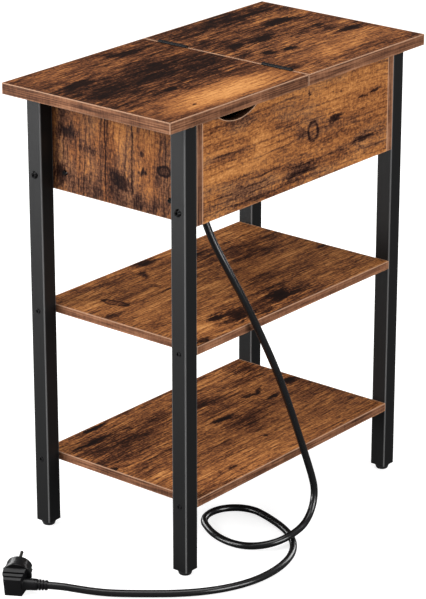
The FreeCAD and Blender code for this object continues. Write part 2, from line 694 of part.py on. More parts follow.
def make_top_board(label, low_x, length, sign):
    """Lid or fixed top with its hinge recesses and screw holes."""
    towards = "+X" if sign == "1" else "-X"
    low = (low_x, "(0 - top_width / 2)", UNDER_TOP)
    board = box(f"{label}_board", (length, "top_width", "top_thickness"), low)
    tools = []
    for depth, y_sign in DEPTHS.items():
        tools.append(hinge_recess(f"{label}_{depth}_recess", f"({y_sign} * {HINGE_Y})"))
    for name, _, seam_face in hinge_screw_places(sign):
        start = moved(seam_face, towards, "leaf_thickness")
        tools.append(hole(f"{label}_screw_{name}", "(hinge_screw_radius + drill_fit)", "hinge_screw_length",
                          start, towards))
    if sign == "1":
        for y_sign in DEPTHS.values():
            for n, x in enumerate(TOP_CAM_XS):
                tools.append(hole(f"{label}_cam_{y_sign}_{n}", "(cam_bolt_radius + drill_fit)", CAM_DEPTH,
                                  (x, f"({y_sign} * {CAM_BOLT_Y})", UNDER_TOP), "+Z"))
    piece(label, cut(label, board, *tools))


def make_leaf(depth, kind, sign, first_knuckle):
    """A hinge leaf: plate in the board's edge, with every second knuckle of the barrel."""
    label = f"hinge_{depth}_{kind}_leaf"
    y_start = f"({DEPTHS[depth]} * {HINGE_Y} - hinge_length / 2)"
    plate_x = f"({SEAM_X} + {sign} * (seam_gap + leaf_thickness) / 2 - leaf_thickness / 2)"
    parts = [box(f"{label}_plate", ("leaf_thickness", "hinge_length", "leaf_height"),
                 (plate_x, y_start, LEAF_BOTTOM))]
    width = f"(hinge_length / {KNUCKLES} - knuckle_gap)"
    for n in range(first_knuckle, KNUCKLES, 2):
        y = f"({y_start} + {n} * hinge_length / {KNUCKLES} + knuckle_gap / 2)"
        parts.append(cylinder(f"{label}_knuckle_{n}", "knuckle_radius", width, (SEAM_X, y, HINGE_Z), "+Y"))
        parts.append(box(f"{label}_tab_{n}", ("leaf_thickness", width, "(knuckle_radius + hinge_fit)"),
                         (plate_x, y, LEAF_TOP)))
    tools = [hole(f"{label}_bore", "(pin_radius + pin_fit)", "(hinge_length + overrun)",
                  (SEAM_X, y_start, HINGE_Z), "+Y")]
    for name, where, seam_face in hinge_screw_places(sign):
        if where == depth:
            tools.append(cone(f"{label}_countersink_{name}", "(hinge_screw_head_radius + drill_fit)",
                              "(hinge_screw_radius + drill_fit)", "leaf_thickness", seam_face,
                              "+X" if sign == "1" else "-X"))
    piece(label, cut(label, fuse(f"{label}_blank", *parts), *tools))


def make_hinges():
    for depth, y_sign in DEPTHS.items():
        make_leaf(depth, "fixed", "1", 0)
        make_leaf(depth, "lid", "-1", 1)
        label = f"hinge_{depth}_pin"
        start = (SEAM_X, f"({y_sign} * {HINGE_Y} - hinge_length / 2)", HINGE_Z)
        end = moved(start, "+Y", "hinge_length")
        pin = fuse(
            label,
            cylinder(f"{label}_rod", "pin_radius", "hinge_length", start, "+Y"),
            cylinder(f"{label}_front_head", "pin_head_radius", "pin_head_height", start, "-Y"),
            cylinder(f"{label}_back_head", "pin_head_radius", "pin_head_height", end, "+Y"),
        )
        piece(label, pin)


def make_hinge_screws():
    for kind, sign, towards in (("fixed", "1", "+X"), ("lid", "-1", "-X")):
        screws = []
        for name, _, seam_face in hinge_screw_places(sign):
            own = f"hinge_{kind}_screw_{name}"
            solid = fuse(
                f"{own}_blank",
                cone(f"{own}_head", "hinge_screw_head_radius", "hinge_screw_radius", "leaf_thickness",
                     seam_face, towards),
                cylinder(f"{own}_shank", "hinge_screw_radius", "hinge_screw_length",
                         moved(seam_face, towards, "leaf_thickness"), towards),
            )
            socket = hexagon(f"{own}_socket", "hinge_screw_socket", "(hinge_screw_socket_depth + overrun)",
                             moved(seam_face, opposite(towards), "overrun"), towards)
            screws.append(cut(own, solid, socket))
        piece(f"hinge_screws_{kind}", group(f"hinge_screws_{kind}", screws))


def make_leg_bolts():
    """Box bolts with their inserts, and shelf bolts with their barrel nuts."""
    socket = ("bolt_socket", "bolt_socket_depth")
    box_head = ("box_bolt_head_radius", "box_bolt_crown_radius", "box_bolt_head_height")
    shelf_head = ("shelf_bolt_head_radius", "shelf_bolt_crown_radius", "shelf_bolt_head_height")
    box_bolts, inserts, shelf_bolts, nuts = [], [], [], []
    for name, side, _, y in leg_places():
        sign, towards = SIDES[side], inward(side)
        seat = (f"({sign} * {LEG_OUTER_X})", y, BOX_BOLT_Z)
        shank = ("bolt_radius", f"(leg_side + {INSERT_LENGTH})")
        box_bolts.append(headed(f"box_bolt_{name}", seat, towards, box_head, shank, socket))
        start = (f"({sign} * {LEG_INNER_X})", y, BOX_BOLT_Z)
        sleeve = cylinder(f"insert_{name}_sleeve", INSERT_RADIUS, INSERT_LENGTH, start, towards)
        thread = hole(f"insert_{name}_thread", "(bolt_radius + drill_fit)", f"({INSERT_LENGTH} + overrun)",
                      start, towards)
        inserts.append(cut(f"insert_{name}", sleeve, thread))
        for level, z in SHELF_MIDDLES.items():
            own = f"{level}_{name}"
            seat = (f"({sign} * {LEG_OUTER_X})", y, z)
            shank = ("bolt_radius", f"(leg_side + {SHELF_BOLT_GRIP})")
            shelf_bolts.append(headed(f"shelf_bolt_{own}", seat, towards, shelf_head, shank, socket))
            nut_axis = moved((f"({sign} * {LEG_INNER_X})", y, z), towards, "nut_setback")
            barrel = cylinder(f"nut_{own}_barrel", NUT_RADIUS, NUT_LENGTH,
                              moved(nut_axis, "-Z", f"{NUT_LENGTH} / 2"), "+Z")
            thread = hole(f"nut_{own}_thread", "(bolt_radius + drill_fit)", f"(2 * {NUT_RADIUS} + overrun)",
                          moved(nut_axis, opposite(towards), NUT_RADIUS), towards)
            nuts.append(cut(f"nut_{own}", barrel, thread))
    piece("box_bolts", group("box_bolts", box_bolts))
    piece("box_bolt_inserts", group("box_bolt_inserts", inserts))
    piece("shelf_bolts", group("shelf_bolts", shelf_bolts))
    piece("shelf_barrel_nuts", group("shelf_barrel_nuts", nuts))


def make_bottom_screws():
    screws = []
    head = ("bottom_screw_head_radius", "bottom_screw_crown_radius", "bottom_screw_head_height")
    shank = ("bottom_screw_radius", "(panel_thickness + bottom_screw_bite)")
    socket = ("bottom_screw_socket", "bottom_screw_socket_depth")
    for side, x_sign in SIDES.items():
        for depth, y_sign in DEPTHS.items():
            seat = (f"({x_sign} * {LEG_INNER_X})", f"({y_sign} * {BOTTOM_SCREW_Y})", BOTTOM_MIDDLE_Z)
            screws.append(headed(f"bottom_screw_{depth}_{side}", seat, inward(side), head, shank, socket))
    piece("bottom_screws", group("bottom_screws", screws))


def make_cams():
    """Cam locks with their bolts, which bite into the side panels or into the fixed top."""
    bolts = {"panel": [], "top": []}
    locks = {"panel": [], "top": []}
    for name, _, middle, to_bolt, into, owner in cam_places():
        centre = moved(middle, into, "panel_thickness / 2")
        bolts[owner].append(cylinder(f"cam_bolt_{name}", "cam_bolt_radius", f"(cam_setback + {CAM_DEPTH})",
                                     centre, to_bolt))
        drum = cylinder(f"cam_{name}_drum", "cam_radius", CAM_DEPTH, middle, into)
        seat = hole(f"cam_{name}_seat", "(cam_bolt_radius + drill_fit)", "(cam_radius + drill_fit)",
                    moved(centre, to_bolt, "cam_radius"), opposite(to_bolt))
        slot_size = ("cam_radius", "(2 * cam_slot_depth)", "cam_slot_width")
        slot = middle_box(f"cam_{name}_slot", slot_size, middle)
        locks[owner].append(cut(f"cam_{name}", drum, seat, slot))
    for owner in bolts:
        piece(f"{owner}_cam_bolts", group(f"{owner}_cam_bolts", bolts[owner]))
        piece(f"{owner}_cam_locks", group(f"{owner}_cam_locks", locks[owner]))


def make_grommet():
    middle = (STRIP_X, GROMMET_Y, DECK_Z)
    sleeve = "(grommet_bore + grommet_wall)"
    ring = fuse(
        "cable_grommet_ring",
        cylinder("cable_grommet_sleeve", sleeve, "panel_thickness", middle, "-Z"),
        cylinder("cable_grommet_flange", f"({sleeve} + grommet_lip)", "grommet_flange", middle, "+Z"),
    )
    bore = hole("cable_grommet_bore", "grommet_bore", "(grommet_flange + panel_thickness + overrun)",
                moved(middle, "+Z", "grommet_flange"), "-Z")
    piece("cable_grommet", cut("cable_grommet", ring, bore))


def strip_screw_ys():
    from_end = "(strip_wall + strip_screw_inset)"
    return f"({STRIP_FRONT} + {from_end})", f"({STRIP_BACK} - {from_end})"


def strip_shell(name, low_z, height, cavity_z):
    """A shell of the power strip: a block less its cavity and half of the strain relief's hole."""
    size = (STRIP_WIDTH, STRIP_LENGTH, height)
    low_x = f"({STRIP_X} - {STRIP_WIDTH} / 2)"
    block = box(f"{name}_block", size, (low_x, STRIP_FRONT, low_z))
    cavity = box(
        f"{name}_cavity",
        (f"({STRIP_WIDTH} - 2 * strip_wall)", f"({STRIP_LENGTH} - 2 * strip_wall)", height),
        (f"({low_x} + strip_wall)", f"({STRIP_FRONT} + strip_wall)", cavity_z),
    )
    neck = hole(f"{name}_cord_hole", "(relief_neck_radius + drill_fit)", "(strip_wall + overrun)",
                (STRIP_X, STRIP_FRONT, STRIP_SPLIT), "+Y")
    return block, [cavity, neck]


def make_strip_shells():
    block, tools = strip_shell("strip_base", DECK_Z, "strip_base_height", f"({DECK_Z} + strip_wall)")
    for n, y in enumerate(strip_screw_ys()):
        tools.append(hole(f"strip_base_screw_{n}", "(strip_screw_radius + drill_fit)",
                          "(strip_wall + overrun)", (STRIP_X, y, f"({DECK_Z} + strip_wall)"), "-Z"))
    piece("strip_base", cut("strip_base", block, *tools))
    under_cover = f"({STRIP_SPLIT} - strip_wall)"
    block, tools = strip_shell("strip_cover", STRIP_SPLIT, STRIP_COVER_HEIGHT, under_cover)
    for name, y in SOCKET_YS.items():
        tools.append(hole(f"strip_cover_{name}", "(well_radius + socket_wall + drill_fit)",
                          "(strip_wall + overrun)", (STRIP_X, y, STRIP_TOP), "-Z"))
    usb_hole = ("(usb_width + 2 * drill_fit)", "(usb_length + 2 * drill_fit)", "(2 * strip_wall + overrun)")
    tools.append(middle_box("strip_cover_usb", usb_hole, (STRIP_X, USB_Y, STRIP_TOP)))
    piece("strip_cover", cut("strip_cover", block, *tools))


def contact_xs():
    return {"line": f"({STRIP_X} - contact_spacing / 2)", "neutral": f"({STRIP_X} + contact_spacing / 2)"}


def make_sockets():
    """Socket wells with their earth clips, contact sleeves and the bars that join the sleeves."""
    clips, sleeves = [], []
    clip_out = "(sqrt(well_radius ^ 2 - clip_width ^ 2 / 4) - drill_fit)"
    for label, y in SOCKET_YS.items():
        face = (STRIP_X, y, STRIP_TOP)
        barrel_depth = f"({STRIP_TOP} - {SLEEVE_TOP})"
        blank = fuse(
            f"{label}_blank",
            cylinder(f"{label}_flange", FLANGE_RADIUS, "socket_flange", face, "+Z"),
            cylinder(f"{label}_barrel", "(well_radius + socket_wall)", barrel_depth, face, "-Z"),
        )
        mouth = moved(face, "+Z", "socket_flange")
        tools = [hole(f"{label}_well", "well_radius", "well_depth", mouth, "-Z")]
        for pole, x in contact_xs().items():
            tools.append(hole(f"{label}_{pole}_hole", "contact_hole_radius", "(socket_floor + overrun)",
                              (x, y, WELL_FLOOR_Z), "-Z"))
            tube = cylinder(f"{label}_{pole}_tube", "(contact_hole_radius + sleeve_wall)", "sleeve_length",
                            (x, y, SLEEVE_TOP), "-Z")
            bore = hole(f"{label}_{pole}_bore", "contact_hole_radius", "(sleeve_length + overrun)",
                        (x, y, SLEEVE_TOP), "-Z")
            sleeves.append(cut(f"{label}_{pole}_sleeve", tube, bore))
        piece(label, cut(label, blank, *tools))
        for way, sign in DEPTHS.items():
            middle_y = f"({y} + {sign} * ({clip_out} - clip_thickness / 2))"
            clips.append(middle_box(f"{label}_{way}_clip", ("clip_width", "clip_thickness", "clip_height"),
                                    (STRIP_X, middle_y, f"({WELL_FLOOR_Z} + clip_height / 2)")))
    sleeve_radius = "(contact_hole_radius + sleeve_wall)"
    bars = [
        box(f"{pole}_bar", (f"(2 * {sleeve_radius})",
                            f"({SOCKET_BACK_Y} - {SOCKET_FRONT_Y} + 2 * {sleeve_radius})", "bar_thickness"),
            (f"({x} - {sleeve_radius})", f"({SOCKET_FRONT_Y} - {sleeve_radius})",
             f"({SLEEVE_TOP} - sleeve_length - bar_thickness)"))
        for pole, x in contact_xs().items()
    ]
    piece("earth_clips", group("earth_clips", clips))
    piece("contact_sleeves", group("contact_sleeves", sleeves))
    piece("bus_bars", group("bus_bars", bars))


def make_usb():
    face = (STRIP_X, USB_Y, STRIP_TOP)
    rim_size = ("(usb_width + 2 * usb_lip)", "(usb_length + 2 * usb_lip)", "usb_rim")
    core_size = ("usb_width", "usb_length", "usb_depth")
    blank = fuse(
        "usb_module_blank",
        middle_box("usb_module_rim", rim_size, moved(face, "+Z", "usb_rim / 2")),
        middle_box("usb_module_core", core_size, moved(face, "-Z", "usb_depth / 2")),
    )
    ports = []
    for n, sign in enumerate(("-", "+")):
        port_face = moved(moved(face, "+Z", "usb_rim"), f"{sign}Y", "port_pitch / 2")
        room_size = ("port_width", "port_length", "(2 * port_depth)")
        port = middle_box(f"usb_port_{n}_room", room_size, port_face)
        tongue = middle_box(f"usb_port_{n}_tongue", ("port_tongue", "port_length", "port_depth"),
                            moved(port_face, "-Z", "port_depth"))
        ports.append(cut(f"usb_port_{n}", port, tongue))
    piece("usb_module", cut("usb_module", blank, *ports))
    board_size = ("usb_width", "usb_length", "usb_board")
    under = moved(face, "-Z", "(usb_depth + usb_board / 2)")
    piece("usb_circuit_board", middle_box("usb_circuit_board", board_size, under))


def make_strip_screws():
    head = ("strip_screw_head_radius", "strip_screw_crown_radius", "strip_screw_head_height")
    shank = ("strip_screw_radius", "(strip_wall + strip_screw_bite)")
    socket = ("strip_screw_socket", "strip_screw_socket_depth")
    screws = []
    for n, y in enumerate(strip_screw_ys()):
        seat = (STRIP_X, y, f"({DECK_Z} + strip_wall)")
        screws.append(headed(f"strip_screw_{n}", seat, "-Z", head, shank, socket))
    piece("strip_screws", group("strip_screws", screws))


def make_strain_relief():
    wall = (STRIP_X, STRIP_FRONT, STRIP_SPLIT)
    relief = fuse(
        "strip_strain_relief",
        cone("strip_strain_relief_taper", "relief_root_radius", "relief_tip_radius", "relief_length",
             wall, "-Y"),
        cylinder("strip_strain_relief_neck", "relief_neck_radius", "strip_wall", wall, "+Y"),
        cylinder("strip_strain_relief_flange", "relief_flange_radius", "relief_flange",
                 moved(wall, "+Y", "strip_wall"), "+Y"),
    )
    piece("strip_strain_relief", relief)


def cord_path(points):
    """Straight runs joined by tangent arcs as large as the runs allow, and the arcs' radii."""
    edges, radii = [], []
    reach_share = 0.45
    start = points[0]
    for before, corner, after in zip(points, points[1:], points[2:]):
        arrive = (corner - before).normalize()
        leave = (after - corner).normalize()
        turn = arrive.getAngle(leave)
        reach = reach_share * min((corner - before).Length, (after - corner).Length)
        radius = reach / math.tan(turn / 2)
        first, last = corner - arrive * reach, corner + leave * reach
        bisector = (leave - arrive).normalize()
        middle = corner + bisector * (radius / math.cos(turn / 2) - radius)
        edges.append(Part.LineSegment(start, first).toShape())
        edges.append(Part.Arc(first, middle, last).toShape())
        radii.append(radius)
        start = last
    edges.append(Part.LineSegment(start, points[-1]).toShape())
    return Part.Wire(edges), radii


def make_cord():
    points = [Vector(*point) for point in CORD_ROUTE]
    path, radii = cord_path(points)
    radius = sheet.cord_diameter / 2
    section = Part.Wire(Part.Circle(points[0], points[1] - points[0], radius).toShape())
    cord = doc.addObject("Part::Feature", "power_cord")
    cord.Shape = path.makePipeShell([section], True, False)
    piece("power_cord", cord)
    print("cord length %.0f, volume over section times length %.4f" % (
        path.Length, cord.Shape.Volume / (math.pi * radius ** 2 * path.Length)))
    print("cord arc radii", " ".join("%.0f" % r for r in radii))
    print("cord runs", " ".join("%.0f" % (b - a).Length for a, b in zip(points, points[1:])))


def plug_placement():
    """The plug's own X continues the cord's last run on the level, and its pins point along its -Y."""
    before, end = (Vector(*point) for point in CORD_ROUTE[-2:])
    heading = math.degrees(math.atan2(end.y - before.y, end.x - before.x))
    return Placement(end, Rotation(Vector(0, 0, 1), heading) * Rotation(Vector(1, 0, 0), -PLUG_PIN_RISE))


def plug_around(radius, sign):
    """A place at a radius from the plug's middle, on the line through the pins."""
    along = f"({sign} * {radius} * cos({PLUG_PIN_TURN} deg))"
    up = f"({sign} * {radius} * sin({PLUG_PIN_TURN} deg))"
    return f"(plug_reach + {along})", f"(plug_lift + {up})"


def plug_plate(name, size, depth, sign):
    """A plate lying on the nose's rim, square to the line through the pins, depth inside the rim."""
    thickness, length, width = size
    plate = doc.addObject("Part::Box", name)
    bind(plate, Length=thickness, Width=length, Height=width)
    away = f"({sign} * (plug_face_radius - {depth}) - {thickness} / 2)"
    aside = f"(0 - {width} / 2)"
    turn = PLUG_PIN_TURN + 90
    x = f"(plug_reach + {away} * cos({turn} deg) - {aside} * sin({turn} deg))"
    z = f"(plug_lift + {away} * sin({turn} deg) + {aside} * cos({turn} deg))"
    return place(plate, (x, f"(0 - {PLUG_FACE_Y})", z), Rotation(Vector(0, 1, 0), -turn))


def make_plug_boot():
    blank = cone("plug_boot_taper", "boot_tip_radius", "boot_root_radius", "boot_length",
                 ("0", "0", "0"), "+X")
    tools = []
    for n in range(BOOT_GROOVES):
        start = (f"(boot_length * {n + 1} / {BOOT_GROOVES + 1} - boot_groove_width / 2)", "0", "0")
        outside = cylinder(f"plug_boot_outside_{n}", "(boot_root_radius + overrun)", "boot_groove_width",
                           start, "+X")
        core = hole(f"plug_boot_core_{n}", "(boot_tip_radius - boot_groove_depth)",
                    "(boot_groove_width + overrun)", start, "+X")
        tools.append(cut(f"plug_boot_groove_{n}", outside, core))
    boot = cut("plug_boot", blank, *tools)
    boot.Placement = plug_placement()
    piece("plug_boot", boot)


def make_plug_grip():
    """A block that narrows from the collar to its back, with two finger grooves across its upper side."""
    block = doc.addObject("Part::Wedge", "plug_grip_block")
    bind(block, Ymin="(0 - plug_grip_front)", Ymax="plug_grip_back")
    bind(block, Xmin="(plug_reach - plug_grip_near)", Xmax="(plug_reach + plug_grip_far)")
    bind(block, Zmin="(0 - plug_grip_base)", Zmax="plug_grip_top")
    bind(block, X2min="(plug_reach - plug_back_near)", X2max="(plug_reach + plug_back_far)")
    bind(block, Z2min="(0 - plug_grip_base)", Z2max="plug_back_top")
    grooves = []
    for n in range(2):
        size = ("(plug_grip_near + plug_grip_far + 2 * overrun)", "plug_groove_width", "plug_grip_top")
        low = ("(plug_reach - plug_grip_near - overrun)", f"({n} * plug_groove_pitch)", "plug_groove_floor")
        grooves.append(box(f"plug_finger_groove_{n}", size, low))
    return cut("plug_grip", block, *grooves)


def make_plug_body():
    collar = ("plug_reach", "(0 - plug_grip_front)", "plug_lift")
    solids = [
        make_plug_grip(),
        cylinder("plug_collar", "plug_collar_radius", "plug_collar_depth", collar, "-Y"),
        cylinder("plug_nose", "plug_face_radius", "plug_face_depth", moved(collar, "-Y", "plug_collar_depth"),
                 "-Y"),
        cone("plug_neck", "boot_root_radius", "plug_neck_radius", "(plug_reach - boot_length)",
             ("boot_length", "0", "0"), "+X"),
    ]
    tools = []
    for name, sign in SIDES.items():
        x, z = plug_around("contact_spacing / 2", sign)
        tools.append(hole(f"plug_pin_hole_{name}", "(plug_pin_radius + drill_fit)", "plug_pin_root",
                          (x, f"(0 - {PLUG_FACE_Y})", z), "+Y"))
        groove = ("(2 * plug_earth_depth)", "plug_earth_length", "(plug_earth_width + 2 * drill_fit)")
        tools.append(plug_plate(f"plug_groove_{name}", groove, "0", sign))
    body = cut("plug_body", fuse("plug_body_blank", *solids), *tools)
    body.Placement = plug_placement()
    piece("plug_body", body)


def make_plug_contacts():
    pins, plates = [], []
    seat = "(plug_earth_depth - plug_earth_thickness / 2)"
    for name, sign in SIDES.items():
        x, z = plug_around("contact_spacing / 2", sign)
        tip = (x, f"(0 - {PLUG_FACE_Y} - plug_pin_length)", z)
        pins.append(cylinder(f"plug_pin_{name}", "plug_pin_radius", "(plug_pin_length + plug_pin_root)",
                             tip, "+Y"))
        plate = ("plug_earth_thickness", "plug_earth_length", "plug_earth_width")
        plates.append(plug_plate(f"plug_earth_{name}", plate, seat, sign))
    for label, members in (("plug_pins", pins), ("plug_earth_contacts", plates)):
        both = group(label, members)
        both.Placement = plug_placement()
        piece(label, both)


make_legs()
make_leg_ends()
make_feet()
for side, sign in SIDES.items():
    side_panel(side, sign)
for depth, sign in DEPTHS.items():
    long_panel(depth, sign)
make_box_bottom()
for level in SHELF_MIDDLES:
    make_shelf(level)
make_top_board("lid", "(0 - top_length / 2)", "lid_length", "-1")
make_top_board("fixed_top", f"({SEAM_X} + seam_gap / 2)", "(top_length - lid_length - seam_gap)", "1")
make_hinges()
make_hinge_screws()
make_leg_bolts()
make_bottom_screws()
make_cams()
make_grommet()
make_strip_shells()
make_sockets()
make_usb()
make_strip_screws()
make_strain_relief()
make_cord()
make_plug_boot()
make_plug_body()
make_plug_contacts()
doc.recompute()

for thing in doc.Objects:
    if {"Invalid", "Error"} & set(thing.State):
        raise RuntimeError(f"{thing.Label} failed: {thing.State}")
for thing in pieces:
    if thing.Shape.isNull() or not thing.Shape.isValid() or not thing.Shape.Solids:
        raise RuntimeError(f"{thing.Label} has no valid solid")
os.makedirs("parts", exist_ok=True)
for thing in pieces:
    thing.Shape.exportStep(f"parts/{thing.Label}.step")
print(len(pieces), "sub-parts written")
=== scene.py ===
"""Looks of the lift top end table around its CAD frame: materials, cord, studio and camera. Metres."""
import math
from collections import namedtuple

import bpy
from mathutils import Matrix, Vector


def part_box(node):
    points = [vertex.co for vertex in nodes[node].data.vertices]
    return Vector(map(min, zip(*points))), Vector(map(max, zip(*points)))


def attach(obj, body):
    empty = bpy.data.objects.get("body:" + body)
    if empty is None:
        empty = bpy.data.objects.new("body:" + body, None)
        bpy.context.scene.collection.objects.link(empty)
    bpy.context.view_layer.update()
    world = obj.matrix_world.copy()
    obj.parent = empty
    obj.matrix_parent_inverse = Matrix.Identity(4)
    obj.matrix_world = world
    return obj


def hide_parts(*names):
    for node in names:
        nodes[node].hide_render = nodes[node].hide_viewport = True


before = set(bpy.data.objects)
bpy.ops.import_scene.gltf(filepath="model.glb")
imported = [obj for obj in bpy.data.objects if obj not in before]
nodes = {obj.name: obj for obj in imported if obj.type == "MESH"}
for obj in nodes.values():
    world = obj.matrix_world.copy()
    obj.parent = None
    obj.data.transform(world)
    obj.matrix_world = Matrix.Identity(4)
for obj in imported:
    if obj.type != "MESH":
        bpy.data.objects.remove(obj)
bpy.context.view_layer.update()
CORNERS = ("front_left", "front_right", "back_left", "back_right")
X, Y, Z = range(3)
MM = 0.001

# The cord's route, strip to plug, in millimetres.
CORD_ROUTE = (
    (-178, -43, 569),
    (-178, -67, 569),
    (-178, -85.3, 561.4),
    (-177.3, -99.4, 547.3),
    (-175.5, -107.5, 529),
    (-171, -113.5, 503),
    (-163, -122, 471),
    (-148.5, -136, 430),
    (-126.5, -150.5, 378),
    (-102, -160, 322),
    (-78, -166.5, 268.5),
    (-56.5, -170.5, 216),
    (-36, -173, 164),
    (-18, -174.5, 119),
    (-5.5, -176, 85.5),
    (0.5, -177.5, 62.5),
    (-3.5, -179.5, 43),
    (-15.5, -182, 27.5),
    (-33, -185, 18.6),
    (-54, -188.5, 17.1),
    (-75.5, -189.5, 15.9),
    (-96, -182.5, 12.2),
    (-112.5, -168, 8.6),
    (-122.5, -148.5, 6),
    (-126.5, -127, 5.25),
    (-124.3, -104.5, 5.25),
    (-118.5, -86, 5.25),
    (-109.5, -68.5, 5.25),
    (-95, -47, 5.25),
    (-71.5, -36.5, 5.25),
    (-46, -40, 5.25),
    (-26, -57, 5.25),
    (-18, -81.5, 5.25),
    (-23, -105.5, 5.25),
    (-30, -128, 5.25),
    (-38.5, -150, 5.25),
    (-50, -171, 5.25),
    (-65.5, -190, 5.25),
    (-85.5, -206.5, 5.25),
    (-110.5, -219, 5.25),
    (-140, -226.5, 5.25),
    (-173, -228.5, 5.25),
    (-208, -223.5, 5.25),
    (-241, -210.5, 5.25),
    (-271, -191.5, 5.25),
    (-298, -167, 5.25),
    (-320.5, -140.5, 5.25),
    (-339.5, -116.5, 5.25),
    (-356, -96, 5.9),
    (-371.5, -77, 8.6),
    (-385.5, -60, 12.4),
    (-397.5, -44, 15.82),
    (-407.5, -27, 15.82),
)

# Marks in the printed grain, in millimetres from the middle of the board: along the grain, across it,
# half length, half width, turn in degrees, depth. A positive depth is dark, a negative one golden.
LID_MARKS = (
    (0, 8, 190, 70, 0, 0.35),
    (72, 116, 46, 11, -2, 1.1),
    (124, 117, 26, 6, 0, 0.5),
    (45, 136, 20, 6, 0, 0.6),
    (128, 140, 24, 10, 0, 0.5),
    (93, 81, 44, 4, 2, 0.7),
    (-87, 63, 28, 9, 4, 1),
    (-104, 56, 44, 22, 0, 0.4),
    (47, 36, 24, 14, 10, 0.65),
    (34, 36, 62, 26, 4, 0.3),
    (-80, 6, 72, 36, 3, 0.35),
    (-114, -2, 30, 16, 0, 0.35),
    (115, -6, 40, 32, -6, 0.35),
    (10, 6, 60, 14, 4, 0.3),
    (60, -30, 60, 18, 0, 0.2),
    (-120, -46, 28, 11, 0, 0.45),
    (-25, -48, 14, 6, 5, 0.8),
    (-4, -61, 20, 8, 0, 0.4),
    (-62, -120, 5, 2.5, 0, 0.9),
    (-103, -91, 15, 6, 0, 0.4),
    (97, -78, 30, 12, 0, 0.2),
    (-25, -132, 14, 5, 0, 0.2),
    (-25, -14, 22, 9, 0, -0.35),
    (-90, 118, 84, 22, 0, -0.3),
    (0, 90, 60, 15, 3, -0.2),
    (20, -108, 165, 36, 0, -0.95),
    (0, -130, 170, 16, 0, -0.3),
)
FIXED_TOP_MARKS = (
    (-40, 40, 140, 42, 0, 0.35),
    (0, 120, 160, 32, 0, 0.3),
    (-87, 18, 17, 10, 20, 1.1),
    (-33, 15, 36, 9, 3, 1.1),
    (-62, 13, 18, 3, 0, 0.6),
    (-49, -46, 16, 8, 4, 1),
    (-85, -36, 15, 8, -10, 0.75),
    (-31, -24, 9, 3, 0, 0.5),
    (67, 55, 38, 12, -4, 0.8),
    (22, 52, 22, 4, 0, 0.5),
    (54, 64, 34, 9, 0, 0.45),
    (97, -45, 24, 11, -5, 0.95),
    (72, -44, 26, 6, 0, 0.4),
    (95, 118, 46, 20, 0, 0.45),
    (-92, 105, 32, 15, 0, 0.6),
    (-20, 118, 80, 24, 0, 0.45),
    (0, 92, 70, 10, 0, 0.3),
    (-104, 54, 34, 28, 0, 0.45),
    (-119, -18, 18, 13, 0, 0.4),
    (26, -9, 24, 5, 2, 0.5),
    (79, -14, 16, 18, 0, 0.4),
    (-121, -114, 16, 10, 0, 0.45),
    (24, -118, 7, 3, 0, 0.5),
    (130, -56, 12, 26, 0, 0.35),
    (60, -122, 50, 14, 0, 0.2),
    (117, -18, 17, 13, 10, -0.6),
    (-30, -95, 72, 24, 0, -0.3),
    (45, 27, 62, 11, 0, -0.25),
    (60, -85, 110, 42, 0, -0.3),
)
FRONT_MARKS = (
    (83, 7.5, 18, 6, 2, 0.95),
    (-1, -51, 46, 10, 3, 0.75),
    (20, -49, 13, 6, 0, 0.5),
    (95, -48, 32, 9, 4, 0.55),
    (151, -38, 21, 8, 4, 0.85),
    (187, -36, 26, 9, 0, 0.45),
    (-120, -52, 112, 22, 2, 0.35),
    (-60, -66, 150, 9, 0, 0.3),
    (4, 3, 12, 10, 0, 0.5),
    (-130, 52, 52, 8, 0, 0.4),
    (-165, 27, 42, 6, 0, 0.35),
    (-140, 8, 46, 12, 0, 0.4),
    (-20, 22, 36, 7, 5, 0.4),
    (-37, -2, 15, 9, 0, 0.25),
    (24, 57, 2.5, 8, 0, 0.8),
    (95, 43, 3, 2.5, 0, 0.7),
    (151, 25, 9, 1.8, 6, 0.8),
    (179, 28, 10, 2, 6, 0.8),
    (126, -7, 15, 4, 4, 0.4),
    (63, -20, 44, 8, 3, 0.25),
    (176, -54, 30, 10, 0, 0.25),
    (-150, -14, 74, 8, 0, -0.4),
    (-88, 18, 22, 30, 0, -0.35),
    (100, 46, 104, 20, 3, -0.35),
    (20, -18, 40, 6, 0, -0.2),
    (120, -26, 60, 5, 4, -0.2),
)
SIDE_MARKS = (
    (15, 88, 14, 20, 0, 0.75),
    (44, 98, 13, 12, 0, 0.4),
    (-2, 64, 8, 20, 0, 0.4),
    (0, 46, 5, 12, 0, 0.5),
    (-50, 101, 18, 14, 0, 0.7),
    (-56, 64, 14, 20, 0, 0.3),
    (0, 20.6, 80, 1.2, 0, 0.95),
    (0, 27, 80, 6, 0, 0.25),
    (0, -28, 80, 1, 0, 0.65),
    (30, -26, 36, 7, 0, 0.4),
    (-24, -28, 30, 7, 0, 0.3),
    (9, -44, 5, 4, 0, 0.75),
    (-17, -47, 4, 10, 0, 0.8),
    (-39, -10, 10, 20, -25, 0.75),
    (-49, 6, 10, 14, 0, 0.5),
    (-57, -40, 12, 15, 0, 0.6),
    (-57, -74, 9, 12, 0, 0.4),
    (29, -86, 20, 12, 0, 0.2),
    (-66, 0, 8, 90, 0, 0.3),
    (31, 36, 26, 11, 0, -0.4),
    (27, -4, 28, 14, 0, -0.4),
    (27, -58, 24, 16, 0, -0.35),
    (-37, -62, 14, 14, 0, -0.3),
    (-26, 44, 18, 12, 0, -0.2),
)
